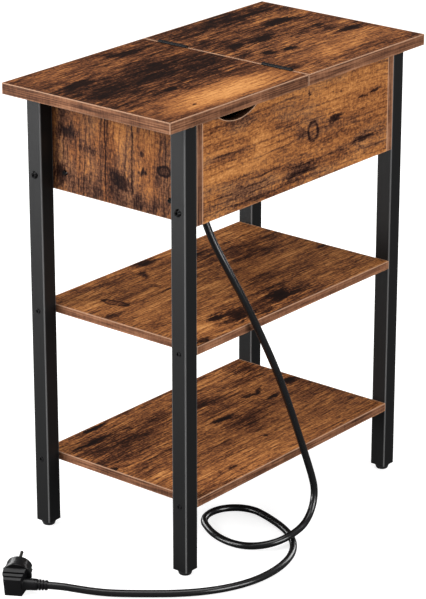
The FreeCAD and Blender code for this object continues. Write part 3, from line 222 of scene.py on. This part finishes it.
UPPER_SHELF_MARKS = (
    (-204, 28, 20, 10, 0, 0.6),
    (-90, 33, 56, 3, 0, 0.5),
    (-54, 97, 10, 12, 15, 0.7),
    (-74, 56, 8, 6, 0, 0.5),
    (-8, 133, 26, 10, 0, 0.75),
    (-90, 117, 40, 14, 0, 0.3),
    (-150, 122, 30, 12, 0, 0.25),
    (120, 56, 112, 38, 0, 0.45),
    (70, 96, 90, 22, 0, 0.35),
    (114, 33, 52, 5, 2, 0.55),
    (200, 60, 24, 14, 0, 0.4),
    (214, -26, 10, 8, 0, 0.6),
    (46, -44, 32, 17, 5, 0.55),
    (4, -104, 28, 20, 0, 0.9),
    (-20, -105, 110, 34, 0, 0.45),
    (19, -76, 40, 8, -4, 0.5),
    (37, -112, 32, 10, 0, 0.5),
    (-120, -92, 13, 12, 0, 0.8),
    (-94, -106, 32, 22, 10, 0.65),
    (-195, -133, 17, 7, 0, 0.8),
    (-54, -126, 26, 9, 0, 0.8),
    (105, -67, 32, 8, 0, 0.35),
    (150, -112, 40, 12, 0, 0.25),
    (-52, -16, 24, 8, 0, 0.3),
    (-158, -103, 25, 18, 20, -0.45),
    (-190, 75, 30, 24, 0, -0.25),
    (-110, 46, 30, 9, 0, -0.2),
    (130, -10, 92, 14, 0, -0.25),
    (-18, -8, 52, 14, 0, -0.2),
    (160, -82, 50, 12, 0, -0.15),
)
LOWER_SHELF_MARKS = (
    (-150, 80, 90, 50, 0, 0.35),
    (-177, 101, 46, 7, 0, 0.8),
    (-195, 76, 30, 14, 0, 0.6),
    (-136, 70, 28, 13, 0, 0.45),
    (-122, 133, 22, 7, 0, 0.7),
    (-97, 94, 11, 6, 0, 0.5),
    (-36, 83, 22, 12, 0, 0.5),
    (-217, 15, 7, 7, 0, 0.7),
    (-127, -1, 42, 3, 0, 0.4),
    (23, 10, 31, 7, -2, 0.95),
    (122, 34, 18, 7, -20, 0.9),
    (141, 36, 14, 5, 40, 0.7),
    (137, 6, 18, 4, 8, 0.7),
    (201, 26, 18, 10, 0, 0.8),
    (192, 106, 32, 15, 0, 0.6),
    (55, 66, 62, 22, 0, 0.45),
    (170, 80, 50, 14, 0, 0.35),
    (37, -17, 46, 18, 0, 0.45),
    (-170, 40, 60, 14, 0, 0.3),
    (14, -76, 6, 4, 0, 0.85),
    (-72, -81, 10, 8, 0, 0.45),
    (-106, -110, 10, 5, 0, 0.8),
    (205, -90, 12, 7, 0, 0.5),
    (168, -58, 4, 3, 0, 0.6),
    (0, 136, 230, 8, 0, 0.25),
    (-13, -49, 20, 14, 0, -0.35),
    (0, -104, 236, 40, 0, -0.35),
    (-190, -50, 40, 18, 0, -0.25),
    (-20, 16, 24, 12, 0, -0.25),
    (130, -40, 50, 18, 0, -0.2),
)
BACK_MARKS = (
    (-90, 21, 44, 10, -4, 0.9),
    (60, -37, 50, 13, 3, 0.8),
    (140, 32, 24, 9, 0, 0.7),
    (-150, -42, 40, 16, 0, 0.5),
    (10, -56, 120, 14, 0, 0.4),
    (-30, 8, 16, 9, 0, 0.5),
    (100, -6, 60, 9, 3, 0.35),
    (0, 48, 90, 12, 0, -0.35),
    (-40, -11, 70, 14, 2, -0.3),
    (160, 4, 40, 12, 0, -0.25),
)
RIGHT_MARKS = (
    (21, -60, 26, 16, 0, 0.8),
    (-37, 40, 18, 20, 0, 0.8),
    (-53, -80, 14, 20, 0, 0.6),
    (-11, 90, 6, 9, 0, 0.9),
    (0, -10, 80, 1.2, 0, 0.95),
    (30, 70, 30, 14, 0, 0.4),
    (-60, 0, 10, 80, 0, 0.35),
    (26, 30, 26, 16, 0, -0.4),
    (-21, -30, 30, 14, 0, -0.35),
)
# Knots: along, across, half length, half width, turn in degrees, how dark the middle is.
FRONT_KNOTS = ((32, 0, 13, 16, 8, 0.0),)
SIDE_KNOTS = ((-7, -85, 8, 13, 0, 0.7),)
UPPER_SHELF_KNOTS = ((-165, 56, 9, 24, 8, 0.5),)
Mark = namedtuple("Mark", "along across half_length half_width turn depth")

# Noises of the print: repeats per metre along the grain and across it, repeats through the board's layers,
# detail, roughness.
SWAY = ((5.0, 12.0, 1.0), 3.0, 0.5)
RIPPLE = ((34.0, 55.0, 1.0), 3.0, 0.6)
CLOUDS = ((17.0, 40.0, 1.0), 6.0, 0.7)
STREAKS = ((11.0, 110.0, 1.0), 5.0, 0.62)
LINES = ((34.0, 460.0, 1.0), 3.0, 0.65)
SPECKLE = ((200.0, 300.0, 1.0), 3.0, 0.68)
BROAD = ((5.0, 17.0, 1.0), 3.0, 0.55)
WARP = ((26.0, 60.0, 1.0), 4.0, 0.6)
FIBRES = ((75.0, 1200.0, 1.0), 2.0, 0.6)
SAWN = ((760.0, 60.0, 1.0), 2.0, 0.6)
PORES = ((95.0, 620.0, 1.0), 1.0, 0.5)
ASH = ((9.0, 26.0, 1.3), 3.0, 0.6)
LAYERS_PER_METRE = 60.0

# How far the noises move the print's tone, and how dark its marks are, on level and on upright boards.
Amounts = namedtuple("Amounts", "clouds streaks lines marks")
LEVEL_AMOUNTS = Amounts(clouds=0.55, streaks=0.65, lines=1.2, marks=1.0)
UPRIGHT_AMOUNTS = Amounts(clouds=0.45, streaks=0.45, lines=0.5, marks=0.72)
BROAD_AMOUNT = 0.45
FIBRES_AMOUNT = 0.3
SPECKLE_AMOUNT = 0.85
SAWN_AMOUNT = 0.3
PORES_AMOUNT = -0.18
MIDDLE_TONE = 0.6
DARKEST_TONE = 0.06

# How far the print's coordinates wander, in metres, and how much of that knots and seams leave out.
SWAY_REACH = 0.014
RIPPLE_REACH = 0.003
WARP_REACH = (0.03, 0.014, 0.0)
STEADIED = (0.7, 0.7, 0.0)

# Year rings: turns across the board, how far they sway, how dark they are.
RING_PITCH = 620.0
RING_SWAY = 9.0
RING_SHADE = -0.22

# A mark's shade: where it is full and where it ends, in shares of its half sizes, and how dark it is.
DEEP_MARK = (0.3, 1.25, 0.66)
SOFT_MARK = (0.0, 1.4, 0.5)
DEEP_FROM = 0.6
SEAM_HALF_WIDTH = 1.5
KNOT_RIM = 0.85
KNOT_RIM_SHADE = -0.34
KNOT_CORE_SHADE = -0.3

# Board colours from dark to light: place on the ramp, linear colour.
GRAIN_RAMP = (
    (0.0, (0.006, 0.0025, 0.002)),
    (0.2, (0.021, 0.007, 0.0035)),
    (0.35, (0.055, 0.0185, 0.0085)),
    (0.5, (0.135, 0.0465, 0.019)),
    (0.66, (0.285, 0.105, 0.034)),
    (0.82, (0.46, 0.187, 0.056)),
    (1.0, (0.62, 0.285, 0.095)),
)
EDGE_RAMP = (
    (0.0, (0.02, 0.01, 0.008)),
    (0.3, (0.088, 0.038, 0.022)),
    (0.55, (0.2, 0.087, 0.046)),
    (1.0, (0.42, 0.21, 0.115)),
)
# Painted highlight along the edge bands' rims.
EDGE_HIGHLIGHT = (0.52, 0.31, 0.2)
# Painted shade on the finger notch's wall.
NOTCH_PAINTED_SHADE = (0.045, 0.02, 0.012)
ASHEN = (0.95, 1.2, 1.65)
# Finger notch: middle along the panel, radius and depth.
NOTCH = (-0.136, 0.076, 0.015)
# Under a face: where the edge band gives way to the print, and where the painted highlight along its rim
# ends.
BAND_FADE = (0.0004, 0.001)
RIM_HIGHLIGHT_FADE = (0.0008, 0.0016)
NOTCH_FADE = (0.0007, 0.0014)
# Along a leg tube's corners: where the painted highlight is full and where it ends.
CORNER_HIGHLIGHT_FADE = (0.0008, 0.0022)

BOARD_EASING = 0.0006
PLUG_EASING = 0.0012
CORD_RADIUS = 0.00525

# The boards' looks: axes of the print, marks, lightness, ash, noise seed.
BOARDS = {
    "lid": dict(marks=LID_MARKS, light=-0.17, ash=0.1, seed=1.3),
    "fixed_top": dict(marks=FIXED_TOP_MARKS, light=-0.09, ash=0.2, seed=4.1),
    "front_panel": dict(
        across=Z,
        marks=FRONT_MARKS,
        knots=FRONT_KNOTS,
        side=-1,
        light=0.09,
        ash=1.0,
        seed=7.7,
        notch=NOTCH,
    ),
    "back_panel": dict(across=Z, marks=BACK_MARKS, light=0.06, ash=0.6, seed=9.2),
    "side_panel_left": dict(
        along=Z,
        marks=SIDE_MARKS,
        knots=SIDE_KNOTS,
        side=-1,
        light=-0.03,
        ash=1.0,
        seed=12.6,
    ),
    "side_panel_right": dict(along=Z, marks=RIGHT_MARKS, light=0.02, ash=0.8, seed=15.4),
    "box_bottom": dict(marks=(), light=0.0, ash=0.3, seed=18.8),
    "upper_shelf": dict(marks=UPPER_SHELF_MARKS, knots=UPPER_SHELF_KNOTS, light=0.03, ash=0.05, seed=21.5),
    "lower_shelf": dict(marks=LOWER_SHELF_MARKS, light=-0.02, ash=0.05, seed=25.9),
}

# Softboxes: name, place, width and height, watts. All look at LIGHT_AIM.
LIGHTS = (
    ("key", (-2.4, 1.0, 1.9), (1.8, 1.8), 80.0),
    ("kicker", (-2.3, 1.6, 0.22), (1.8, 0.42), 46.0),
    ("fill", (-0.2, -3.0, 0.9), (2.0, 1.2), 75.0),
    ("overhead", (-0.4, -0.3, 3.0), (2.2, 2.2), 45.0),
    ("back", (0.3, 3.0, 1.1), (2.0, 1.2), 45.0),
    ("right", (3.0, -0.3, 1.1), (2.0, 1.2), 45.0),
)
LIGHT_AIM = (0.0, 0.0, 0.35)
WHITE = (1.0, 1.0, 1.0)
BACKDROP_SEEN = 0.95
BACKDROP_LIGHT = 0.22
FLOOR_REACH = 30.0
FLOOR_HEIGHT = -0.0003
FLOOR_GLOW = 0.75
FLOOR_BOUNCE = (0.12, 0.12, 0.12)

CAMERA_PLACE = (-2.871, -2.337, 1.709)
CAMERA_DOWN = 20.686
CAMERA_TURN = -50.711
CAMERA_LENS = 163.59
CAMERA_SENSOR = 36.0


class Graph:
    """A material's node tree with short ways to add nodes."""

    def __init__(self, name):
        self.material = bpy.data.materials.new(name)
        self.material.use_nodes = True
        self.tree = self.material.node_tree
        self.tree.nodes.clear()
        self.output = self.add("ShaderNodeOutputMaterial")
        self.shader = self.add("ShaderNodeBsdfPrincipled")
        self.put(self.output.inputs["Surface"], self.shader.outputs["BSDF"])
        self.object_point = self.add("ShaderNodeTexCoord").outputs["Object"]

    def add(self, kind, **settings):
        node = self.tree.nodes.new(kind)
        for name, value in settings.items():
            setattr(node, name, value)
        return node

    def put(self, socket, value):
        """Links an output to a socket, or sets the socket's own value."""
        if isinstance(value, bpy.types.NodeSocket):
            self.tree.links.new(value, socket)
        elif socket.type == "RGBA":
            socket.default_value = (*value, 1.0)
        else:
            socket.default_value = value

    def math(self, operation, *values):
        node = self.add("ShaderNodeMath", operation=operation)
        for socket, value in zip(node.inputs, values):
            self.put(socket, value)
        return node.outputs[0]

    def vector(self, operation, *values):
        node = self.add("ShaderNodeVectorMath", operation=operation)
        for socket, value in zip(node.inputs, values):
            self.put(socket, value)
        return node.outputs["Value" if operation in ("LENGTH", "DISTANCE") else "Vector"]

    def split(self, point):
        node = self.add("ShaderNodeSeparateXYZ")
        self.put(node.inputs[0], point)
        return node.outputs

    def join(self, *values):
        node = self.add("ShaderNodeCombineXYZ")
        for socket, value in zip(node.inputs, values):
            self.put(socket, value)
        return node.outputs[0]

    def noise(self, point, scale, detail, roughness, output="Fac"):
        """Noise at a point. The scale is one number, or one for each axis."""
        if isinstance(scale, tuple):
            point = self.vector("MULTIPLY", point, scale)
            scale = 1.0
        node = self.add("ShaderNodeTexNoise")
        self.put(node.inputs["Vector"], point)
        self.put(node.inputs["Scale"], scale)
        self.put(node.inputs["Detail"], detail)
        self.put(node.inputs["Roughness"], roughness)
        return node.outputs[output]

    def vary(self, value, noise, amount):
        """A value moved by a noise's swing about its middle."""
        return self.math("MULTIPLY_ADD", self.math("SUBTRACT", noise, 0.5), amount, value)

    def step(self, value, low, high, low_to=0.0, high_to=1.0):
        node = self.add("ShaderNodeMapRange", interpolation_type="SMOOTHSTEP")
        for name, number in (
            ("Value", value),
            ("From Min", low),
            ("From Max", high),
            ("To Min", low_to),
            ("To Max", high_to),
        ):
            self.put(node.inputs[name], number)
        return node.outputs["Result"]

    def near(self, distance, fade):
        """1 where a distance is under the fade's first end, falling to 0 at its second."""
        return self.step(distance, *fade, 1.0, 0.0)

    def mix(self, share, first, second, blend="MIX"):
        node = self.add("ShaderNodeMix", data_type="RGBA", blend_type=blend)
        sockets = {socket.identifier: socket for socket in (*node.inputs, *node.outputs)}
        self.put(sockets["Factor_Float"], share)
        self.put(sockets["A_Color"], first)
        self.put(sockets["B_Color"], second)
        return sockets["Result_Color"]

    def ramp(self, value, stops):
        node = self.add("ShaderNodeValToRGB")
        band = node.color_ramp
        while len(band.elements) < len(stops):
            band.elements.new(0.5)
        for element, (place, colour) in zip(band.elements, stops):
            element.position = place
            element.color = (*colour, 1.0)
        self.put(node.inputs["Fac"], value)
        return node.outputs["Color"]

    def surface(self, colour, roughness, specular=0.5, metallic=0.0):
        self.put(self.shader.inputs["Base Color"], colour)
        self.put(self.shader.inputs["Roughness"], roughness)
        self.put(self.shader.inputs["Specular IOR Level"], specular)
        self.put(self.shader.inputs["Metallic"], metallic)

    def bump(self, height, strength, distance):
        node = self.add("ShaderNodeBump")
        self.put(node.inputs["Strength"], strength)
        self.put(node.inputs["Distance"], distance)
        self.put(node.inputs["Height"], height)
        self.put(self.shader.inputs["Normal"], node.outputs["Normal"])

    def centre_on(self, node):
        """Coordinates from the middle of a node's box, its half sizes, and the depths under its faces."""
        low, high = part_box(node)
        axes = self.split(self.vector("SUBTRACT", self.object_point, tuple((low + high) / 2)))
        halves = (high - low) / 2
        depths = [self.math("SUBTRACT", halves[n], self.math("ABSOLUTE", axes[n])) for n in (X, Y, Z)]
        return axes, halves, depths


class Board(Graph):
    """A board with a rustic grain printed on its faces and bands along its edges.

    along and across are the axes of the print, and side is the way that its marked face looks.
    """

    def __init__(self, node, along, across, side, seed):
        super().__init__(f"board_{node}")
        self.axes, self.halves, self.depths = self.centre_on(node)
        self.along = along
        self.across = across
        self.out = X + Y + Z - along - across
        self.seed = seed
        self.amounts = LEVEL_AMOUNTS if self.out == Z else UPRIGHT_AMOUNTS
        self.marked = self.step(self.math("MULTIPLY", self.axes[self.out], side), -MM, MM)

    def lay_grain(self):
        """Noises from broad to fine, on coordinates that sway across the board."""
        along = self.axes[self.along]
        across = self.axes[self.across]
        self.layer = self.math("MULTIPLY_ADD", self.axes[self.out], LAYERS_PER_METRE, self.seed)
        self.flat = self.join(along, across, self.layer)
        self.sway = self.noise(self.flat, *SWAY)
        ripple = self.noise(self.flat, *RIPPLE)
        self.swayed = self.vary(across, self.sway, SWAY_REACH)
        self.swayed = self.vary(self.swayed, ripple, RIPPLE_REACH)
        self.grained = self.join(along, self.swayed, self.layer)
        self.clouds = self.noise(self.flat, *CLOUDS)
        self.streaks = self.noise(self.grained, *STREAKS)
        self.lines = self.noise(self.grained, *LINES)
        self.speckle = self.noise(self.flat, *SPECKLE)

    def grain_tone(self, light):
        """How light the grain is: 0 is the dark end of its colours and 1 the light end."""
        tone = self.vary(MIDDLE_TONE + light, self.noise(self.grained, *BROAD), BROAD_AMOUNT)
        tone = self.vary(tone, self.clouds, self.amounts.clouds)
        tone = self.vary(tone, self.streaks, self.amounts.streaks)
        tone = self.vary(tone, self.lines, self.amounts.lines)
        ring_sway = self.math("MULTIPLY", self.sway, RING_SWAY)
        turns = self.math("MULTIPLY_ADD", self.swayed, RING_PITCH, ring_sway)
        rings = self.step(self.math("SINE", turns), 0.4, 1.0, 0.0, RING_SHADE)
        return self.math("MULTIPLY_ADD", rings, self.step(self.clouds, 0.4, 0.65), tone)

    def from_mark(self, point, mark):
        """How far a point is from a mark's middle, 1 at the mark's rim."""
        offset = self.vector("SUBTRACT", point, (mark.along * MM, mark.across * MM, 0.0))
        if mark.turn:
            node = self.add("ShaderNodeVectorRotate", rotation_type="Z_AXIS")
            self.put(node.inputs["Vector"], offset)
            self.put(node.inputs["Angle"], -math.radians(mark.turn))
            offset = node.outputs["Vector"]
        stretch = (1 / (mark.half_length * MM), 1 / (mark.half_width * MM), 0.0)
        return self.vector("LENGTH", self.vector("MULTIPLY", offset, stretch))

    def add_marks(self, tone, marks, knots):
        """The marked face's marks and knots, with rims frayed along the grain."""
        warp = self.noise(self.flat, *WARP, "Color")
        warp = self.vector("MULTIPLY", self.vector("SUBTRACT", warp, (0.5, 0.5, 0.5)), WARP_REACH)
        place = self.vector("ADD", self.join(self.axes[self.along], self.axes[self.across], 0.0), warp)
        steady = self.vector("SUBTRACT", place, self.vector("MULTIPLY", warp, STEADIED))
        frayed = self.math("MULTIPLY_ADD", self.speckle, 0.6, -0.7)
        frayed = self.math("MULTIPLY_ADD", self.clouds, 0.8, frayed)
        frayed = self.vary(frayed, self.streaks, 1.3)
        frayed = self.vary(frayed, self.lines, 0.7)
        for mark in map(Mark._make, marks):
            seam = mark.half_width < SEAM_HALF_WIDTH
            full, none, strength = DEEP_MARK if mark.depth > DEEP_FROM else SOFT_MARK
            distance = self.math("ADD", self.from_mark(steady if seam else place, mark), frayed)
            shade = self.step(distance, full, none, -strength * self.amounts.marks * mark.depth, 0.0)
            tone = self.math("MULTIPLY_ADD", shade, self.marked, tone)
        for knot in map(Mark._make, knots):
            distance = self.math("MULTIPLY_ADD", frayed, 0.1, self.from_mark(steady, knot))
            from_rim = self.math("ABSOLUTE", self.math("SUBTRACT", distance, KNOT_RIM))
            rim = self.step(from_rim, 0.03, 0.32, KNOT_RIM_SHADE, 0.0)
            tone = self.math("MULTIPLY_ADD", rim, self.marked, tone)
            core = self.step(distance, 0.5, 1.0, KNOT_CORE_SHADE * knot.depth, 0.0)
            tone = self.math("MULTIPLY_ADD", core, self.marked, tone)
        return tone

    def add_detail(self, tone):
        """Fibres, speckle, saw lines and pores, and the grain that still shows in the darkest marks."""
        self.fibres = self.noise(self.grained, *FIBRES)
        sawn = self.noise(self.flat, *SAWN)
        pores = self.noise(self.grained, *PORES)
        tone = self.vary(tone, self.fibres, FIBRES_AMOUNT)
        tone = self.vary(tone, self.speckle, SPECKLE_AMOUNT)
        tone = self.vary(tone, sawn, SAWN_AMOUNT)
        tone = self.math("ADD", tone, self.step(pores, 0.62, 0.74, 0.0, PORES_AMOUNT))
        darkest = self.vary(DARKEST_TONE, self.lines, 0.5)
        darkest = self.vary(darkest, self.speckle, 0.4)
        return self.math("SMOOTH_MAX", tone, darkest, 0.08)

    def face_colour(self, tone, ash):
        """The print's colour, greyer by ash where it is dark."""
        ashen = self.vary(self.noise(self.flat, *ASH), tone, -0.8)
        share = self.step(ashen, 0.3, 0.7, 0.0, ash)
        return self.mix(share, self.ramp(tone, GRAIN_RAMP), ASHEN, "MULTIPLY")

    def edge_colour(self):
        """The bands' colour, with a grain that follows the edge."""
        along = self.axes[self.along]
        at_end = self.near(self.depths[self.along], BAND_FADE)
        to_end = self.math("SUBTRACT", self.axes[self.across], along)
        run = self.math("MULTIPLY_ADD", at_end, to_end, along)
        fine_run = self.math("MULTIPLY", run, 9.0)
        fine_rise = self.math("MULTIPLY", self.axes[self.out], 420.0)
        fine = self.noise(self.join(fine_run, fine_rise, self.seed), 1.0, 6.0, 0.68)
        band = self.vary(0.46, fine, 1.9)
        blotch_point = self.join(self.math("MULTIPLY", run, 22.0), self.seed, self.layer)
        band = self.vary(band, self.noise(blotch_point, 1.0, 3.0, 0.5), 0.7)
        band = self.vary(band, self.speckle, 0.5)
        return self.ramp(band, EDGE_RAMP)

    def rim_highlight(self):
        """1 along the bands' rims, where a highlight is painted as light lines, stronger on upper rims
        than on lower ones.
        """
        highlight_rims = [self.near(depth, RIM_HIGHLIGHT_FADE) for depth in self.depths]
        upright = self.math("MULTIPLY", self.math("MULTIPLY", highlight_rims[X], highlight_rims[Y]), 0.75)
        level = self.math("MULTIPLY", self.math("MAXIMUM", highlight_rims[X], highlight_rims[Y]), highlight_rims[Z])
        # Upper rims get more of the painted highlight than lower ones.
        upper = self.step(self.axes[Z], -MM, MM, 0.3, 0.9)
        return self.math("MAXIMUM", upright, self.math("MULTIPLY", level, upper))

    def at_notch(self, notch):
        """1 on the wall of the finger notch."""
        middle, radius, depth = notch
        centre = (middle, self.halves[self.across] + radius - depth, 0.0)
        point = self.join(self.axes[self.along], self.axes[self.across], 0.0)
        from_centre = self.vector("DISTANCE", point, centre)
        from_wall = self.math("ABSOLUTE", self.math("SUBTRACT", from_centre, radius))
        return self.near(from_wall, NOTCH_FADE)


def board(node, marks, light, ash, seed, along=X, across=Y, knots=(), side=1, notch=None):
    g = Board(node, along, across, side, seed)
    g.lay_grain()
    tone = g.add_detail(g.add_marks(g.grain_tone(light), marks, knots))
    face_colour = g.face_colour(tone, ash)
    edge_colour = g.edge_colour()
    colour = g.mix(g.near(g.depths[g.out], BAND_FADE), edge_colour, face_colour)
    line = g.rim_highlight()
    # Finger notch: a painted highlight along its lip and painted shade darkening its wall.
    if notch:
        at_face = g.near(g.depths[g.out], RIM_HIGHLIGHT_FADE)
        at_notch = g.at_notch(notch)
        line = g.math("MAXIMUM", line, g.math("MULTIPLY", at_notch, at_face))
        colour = g.mix(g.math("MULTIPLY", at_notch, 0.85), colour, NOTCH_PAINTED_SHADE)
    # Painted highlight along the rims and the finger notch's lip.
    colour = g.mix(g.math("MULTIPLY", line, 0.8), colour, EDGE_HIGHLIGHT)
    g.surface(colour, roughness=g.vary(0.5, g.speckle, 0.2), specular=0.03)
    g.bump(g.math("MULTIPLY_ADD", g.lines, 0.6, g.math("MULTIPLY", g.fibres, 0.4)), 0.2, 0.0003)
    return g.material


def plain(name, colour, roughness, grain, relief, metallic=0.0, specular=0.5, variation=0.25):
    """Painted metal, plastic or plated metal: fine surface grain in colour, gloss and relief."""
    g = Graph(name)
    fine = g.noise(g.object_point, grain, 3.0, 0.6)
    cloudy = g.noise(g.object_point, 40.0, 3.0, 0.6)
    lighter = tuple(c * (1 + variation) for c in colour)
    darker = tuple(c * (1 - variation) for c in colour)
    share = g.vary(cloudy, fine, 0.7)
    gloss = g.vary(roughness, fine, 0.2)
    g.surface(g.mix(share, darker, lighter), gloss, specular, metallic)
    g.bump(fine, 0.25, relief)
    return g.material


def coat_and_corner_highlight(node):
    """Matt black coat on a leg, with a highlight painted as a lighter grey along the tube's four corners.
    """
    g = Graph(f"coat_and_corner_highlight_{node}")
    depths = g.centre_on(node)[2]
    highlight_rims = [g.near(depths[n], CORNER_HIGHLIGHT_FADE) for n in (X, Y)]
    fine = g.noise(g.object_point, 900.0, 3.0, 0.6)
    coat = g.mix(fine, (0.005, 0.005, 0.0052), (0.0075, 0.0075, 0.0078))
    # Painted highlight: a lighter grey along the tube's corners.
    colour = g.mix(g.math("MULTIPLY", *highlight_rims), coat, (0.12, 0.12, 0.12))
    g.surface(colour, roughness=0.45, specular=0.2)
    g.bump(fine, 0.25, 0.0002)
    return g.material


def dress(material, *names):
    for name in names:
        for material_slot in nodes[name].material_slots:
            material_slot.material = material


def round_edges(name, width):
    """Eases a piece's sharp edges; the imported faces are joined first."""
    weld = nodes[name].modifiers.new("weld", "WELD")
    weld.merge_threshold = 0.00001
    bevel = nodes[name].modifiers.new("eased_edges", "BEVEL")
    bevel.width = width
    bevel.segments = 2
    bevel.limit_method = "ANGLE"
    bevel.angle_limit = math.radians(40)
    bevel.harden_normals = True


def make_cord(material):
    curve = bpy.data.curves.new("mains_cord", "CURVE")
    curve.dimensions = "3D"
    curve.bevel_depth = CORD_RADIUS
    curve.bevel_resolution = 5
    curve.resolution_u = 8
    curve.use_fill_caps = True
    spline = curve.splines.new("NURBS")
    spline.points.add(len(CORD_ROUTE) - 1)
    for point, (x, y, z) in zip(spline.points, CORD_ROUTE):
        point.co = (x * MM, y * MM, z * MM, 1.0)
    spline.order_u = 3
    spline.use_endpoint_u = True
    cord = bpy.data.objects.new("mains_cord", curve)
    bpy.context.scene.collection.objects.link(cord)
    cord.data.materials.append(material)
    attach(cord, "base")
    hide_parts("power_cord")


def show_by_ray(tree, seen, lighting, output):
    """Shows one shader to the camera and another to all that it lights."""
    rays = tree.nodes.new("ShaderNodeLightPath")
    chosen = tree.nodes.new("ShaderNodeMixShader")
    tree.links.new(rays.outputs["Is Camera Ray"], chosen.inputs["Fac"])
    tree.links.new(lighting, chosen.inputs[1])
    tree.links.new(seen, chosen.inputs[2])
    tree.links.new(chosen.outputs["Shader"], output.inputs["Surface"])


def make_floor():
    """A floor that is pale to the camera and dark to the light that it would bounce onto the legs."""
    mesh = bpy.data.meshes.new("studio_floor")
    turns = ((-1, -1), (1, -1), (1, 1), (-1, 1))
    corners = [(x * FLOOR_REACH, y * FLOOR_REACH, FLOOR_HEIGHT) for x, y in turns]
    mesh.from_pydata(corners, [], [(0, 1, 2, 3)])
    floor = bpy.data.objects.new("studio_floor", mesh)
    bpy.context.scene.collection.objects.link(floor)
    g = Graph("pale_floor")
    cloud = g.noise(g.object_point, 6.0, 2.0, 0.5)
    g.surface(g.mix(cloud, (0.5, 0.5, 0.5), (0.53, 0.53, 0.53)), roughness=0.8)
    g.put(g.shader.inputs["Emission Color"], WHITE)
    g.put(g.shader.inputs["Emission Strength"], FLOOR_GLOW)
    bounce = g.add("ShaderNodeBsdfDiffuse")
    g.put(bounce.inputs["Color"], FLOOR_BOUNCE)
    show_by_ray(g.tree, g.shader.outputs["BSDF"], bounce.outputs["BSDF"], g.output)
    mesh.materials.append(g.material)


def make_light(name, place, size, power):
    lamp = bpy.data.lights.new(name, "AREA")
    lamp.shape = "RECTANGLE"
    lamp.size, lamp.size_y = size
    lamp.energy = power
    light = bpy.data.objects.new(name, lamp)
    bpy.context.scene.collection.objects.link(light)
    light.location = place
    aim = Vector(LIGHT_AIM) - Vector(place)
    light.rotation_euler = aim.to_track_quat("-Z", "Y").to_euler()
    light.visible_camera = False


def make_world():
    """A pale backdrop for the camera, and a dimmer one for everything that it lights."""
    world = bpy.data.worlds.new("studio")
    world.use_nodes = True
    tree = world.node_tree
    dim = tree.nodes["Background"]
    pale = tree.nodes.new("ShaderNodeBackground")
    for backdrop, strength in ((dim, BACKDROP_LIGHT), (pale, BACKDROP_SEEN)):
        backdrop.inputs["Color"].default_value = (*WHITE, 1.0)
        backdrop.inputs["Strength"].default_value = strength
    output = tree.nodes["World Output"]
    show_by_ray(tree, pale.outputs["Background"], dim.outputs["Background"], output)
    bpy.context.scene.world = world


def make_camera():
    camera_data = bpy.data.cameras.new("camera")
    camera_data.lens = CAMERA_LENS
    camera_data.sensor_width = CAMERA_SENSOR
    camera = bpy.data.objects.new("camera", camera_data)
    bpy.context.scene.collection.objects.link(camera)
    camera.location = CAMERA_PLACE
    camera.rotation_euler = (math.radians(90 - CAMERA_DOWN), 0.0, math.radians(CAMERA_TURN))
    bpy.context.scene.camera = camera


for name, look in BOARDS.items():
    dress(board(name, **look), name)
    round_edges(name, BOARD_EASING)

nylon = plain("black_nylon", (0.02, 0.02, 0.021), 0.45, 1400.0, 0.0001)
hardware = plain("black_oxide", (0.004, 0.004, 0.0045), 0.48, 1600.0, 0.0001, specular=0.2)
bolt_black = plain("bolt_black", (0.002, 0.002, 0.002), 0.16, 1600.0, 0.0001, specular=0.3)
zinc = plain("zinc_plate", (0.6, 0.61, 0.62), 0.3, 1200.0, 0.0001, metallic=1.0, variation=0.1)
strip = plain("strip_plastic", (0.03, 0.03, 0.032), 0.5, 1300.0, 0.0002)
brass = plain("contact_brass", (0.72, 0.53, 0.25), 0.28, 1200.0, 0.0001, metallic=1.0, variation=0.1)
solder_mask = plain("circuit_board", (0.05, 0.22, 0.1), 0.35, 900.0, 0.0001)
pvc = plain("cord_pvc", (0.005, 0.005, 0.0055), 0.24, 700.0, 0.00002, specular=0.55)
plug_plastic = plain("plug_plastic", (0.004, 0.004, 0.0045), 0.3, 1100.0, 0.0001, specular=0.35)
nickel = plain("nickel", (0.09, 0.088, 0.085), 0.3, 1200.0, 0.0001, metallic=1.0, variation=0.08)

for corner in CORNERS:
    dress(coat_and_corner_highlight(f"leg_{corner}"), f"leg_{corner}")
    dress(nylon, *(f"{kind}_{corner}" for kind in ("leg_insert", "leg_cap", "foot")))
for place in ("front", "back"):
    dress(hardware, *(f"hinge_{place}_{kind}" for kind in ("fixed_leaf", "lid_leaf", "pin")))
dress(hardware, "hinge_screws_fixed", "hinge_screws_lid", "shelf_bolts")
dress(bolt_black, "box_bolts", "bottom_screws")
dress(zinc, "box_bolt_inserts", "shelf_barrel_nuts", "panel_cam_bolts", "panel_cam_locks", "top_cam_bolts")
dress(zinc, "top_cam_locks", "strip_screws")
dress(strip, "strip_base", "strip_cover", "socket_back", "socket_front", "usb_module", "cable_grommet")
dress(brass, "earth_clips", "contact_sleeves", "bus_bars")
dress(solder_mask, "usb_circuit_board")
dress(pvc, "strip_strain_relief")
dress(plug_plastic, "plug_boot", "plug_body")
round_edges("plug_body", PLUG_EASING)
dress(nickel, "plug_pins", "plug_earth_contacts")
make_cord(pvc)

make_floor()
for light in LIGHTS:
    make_light(*light)
make_world()
bpy.context.scene.view_settings.view_transform = "Standard"
make_camera()
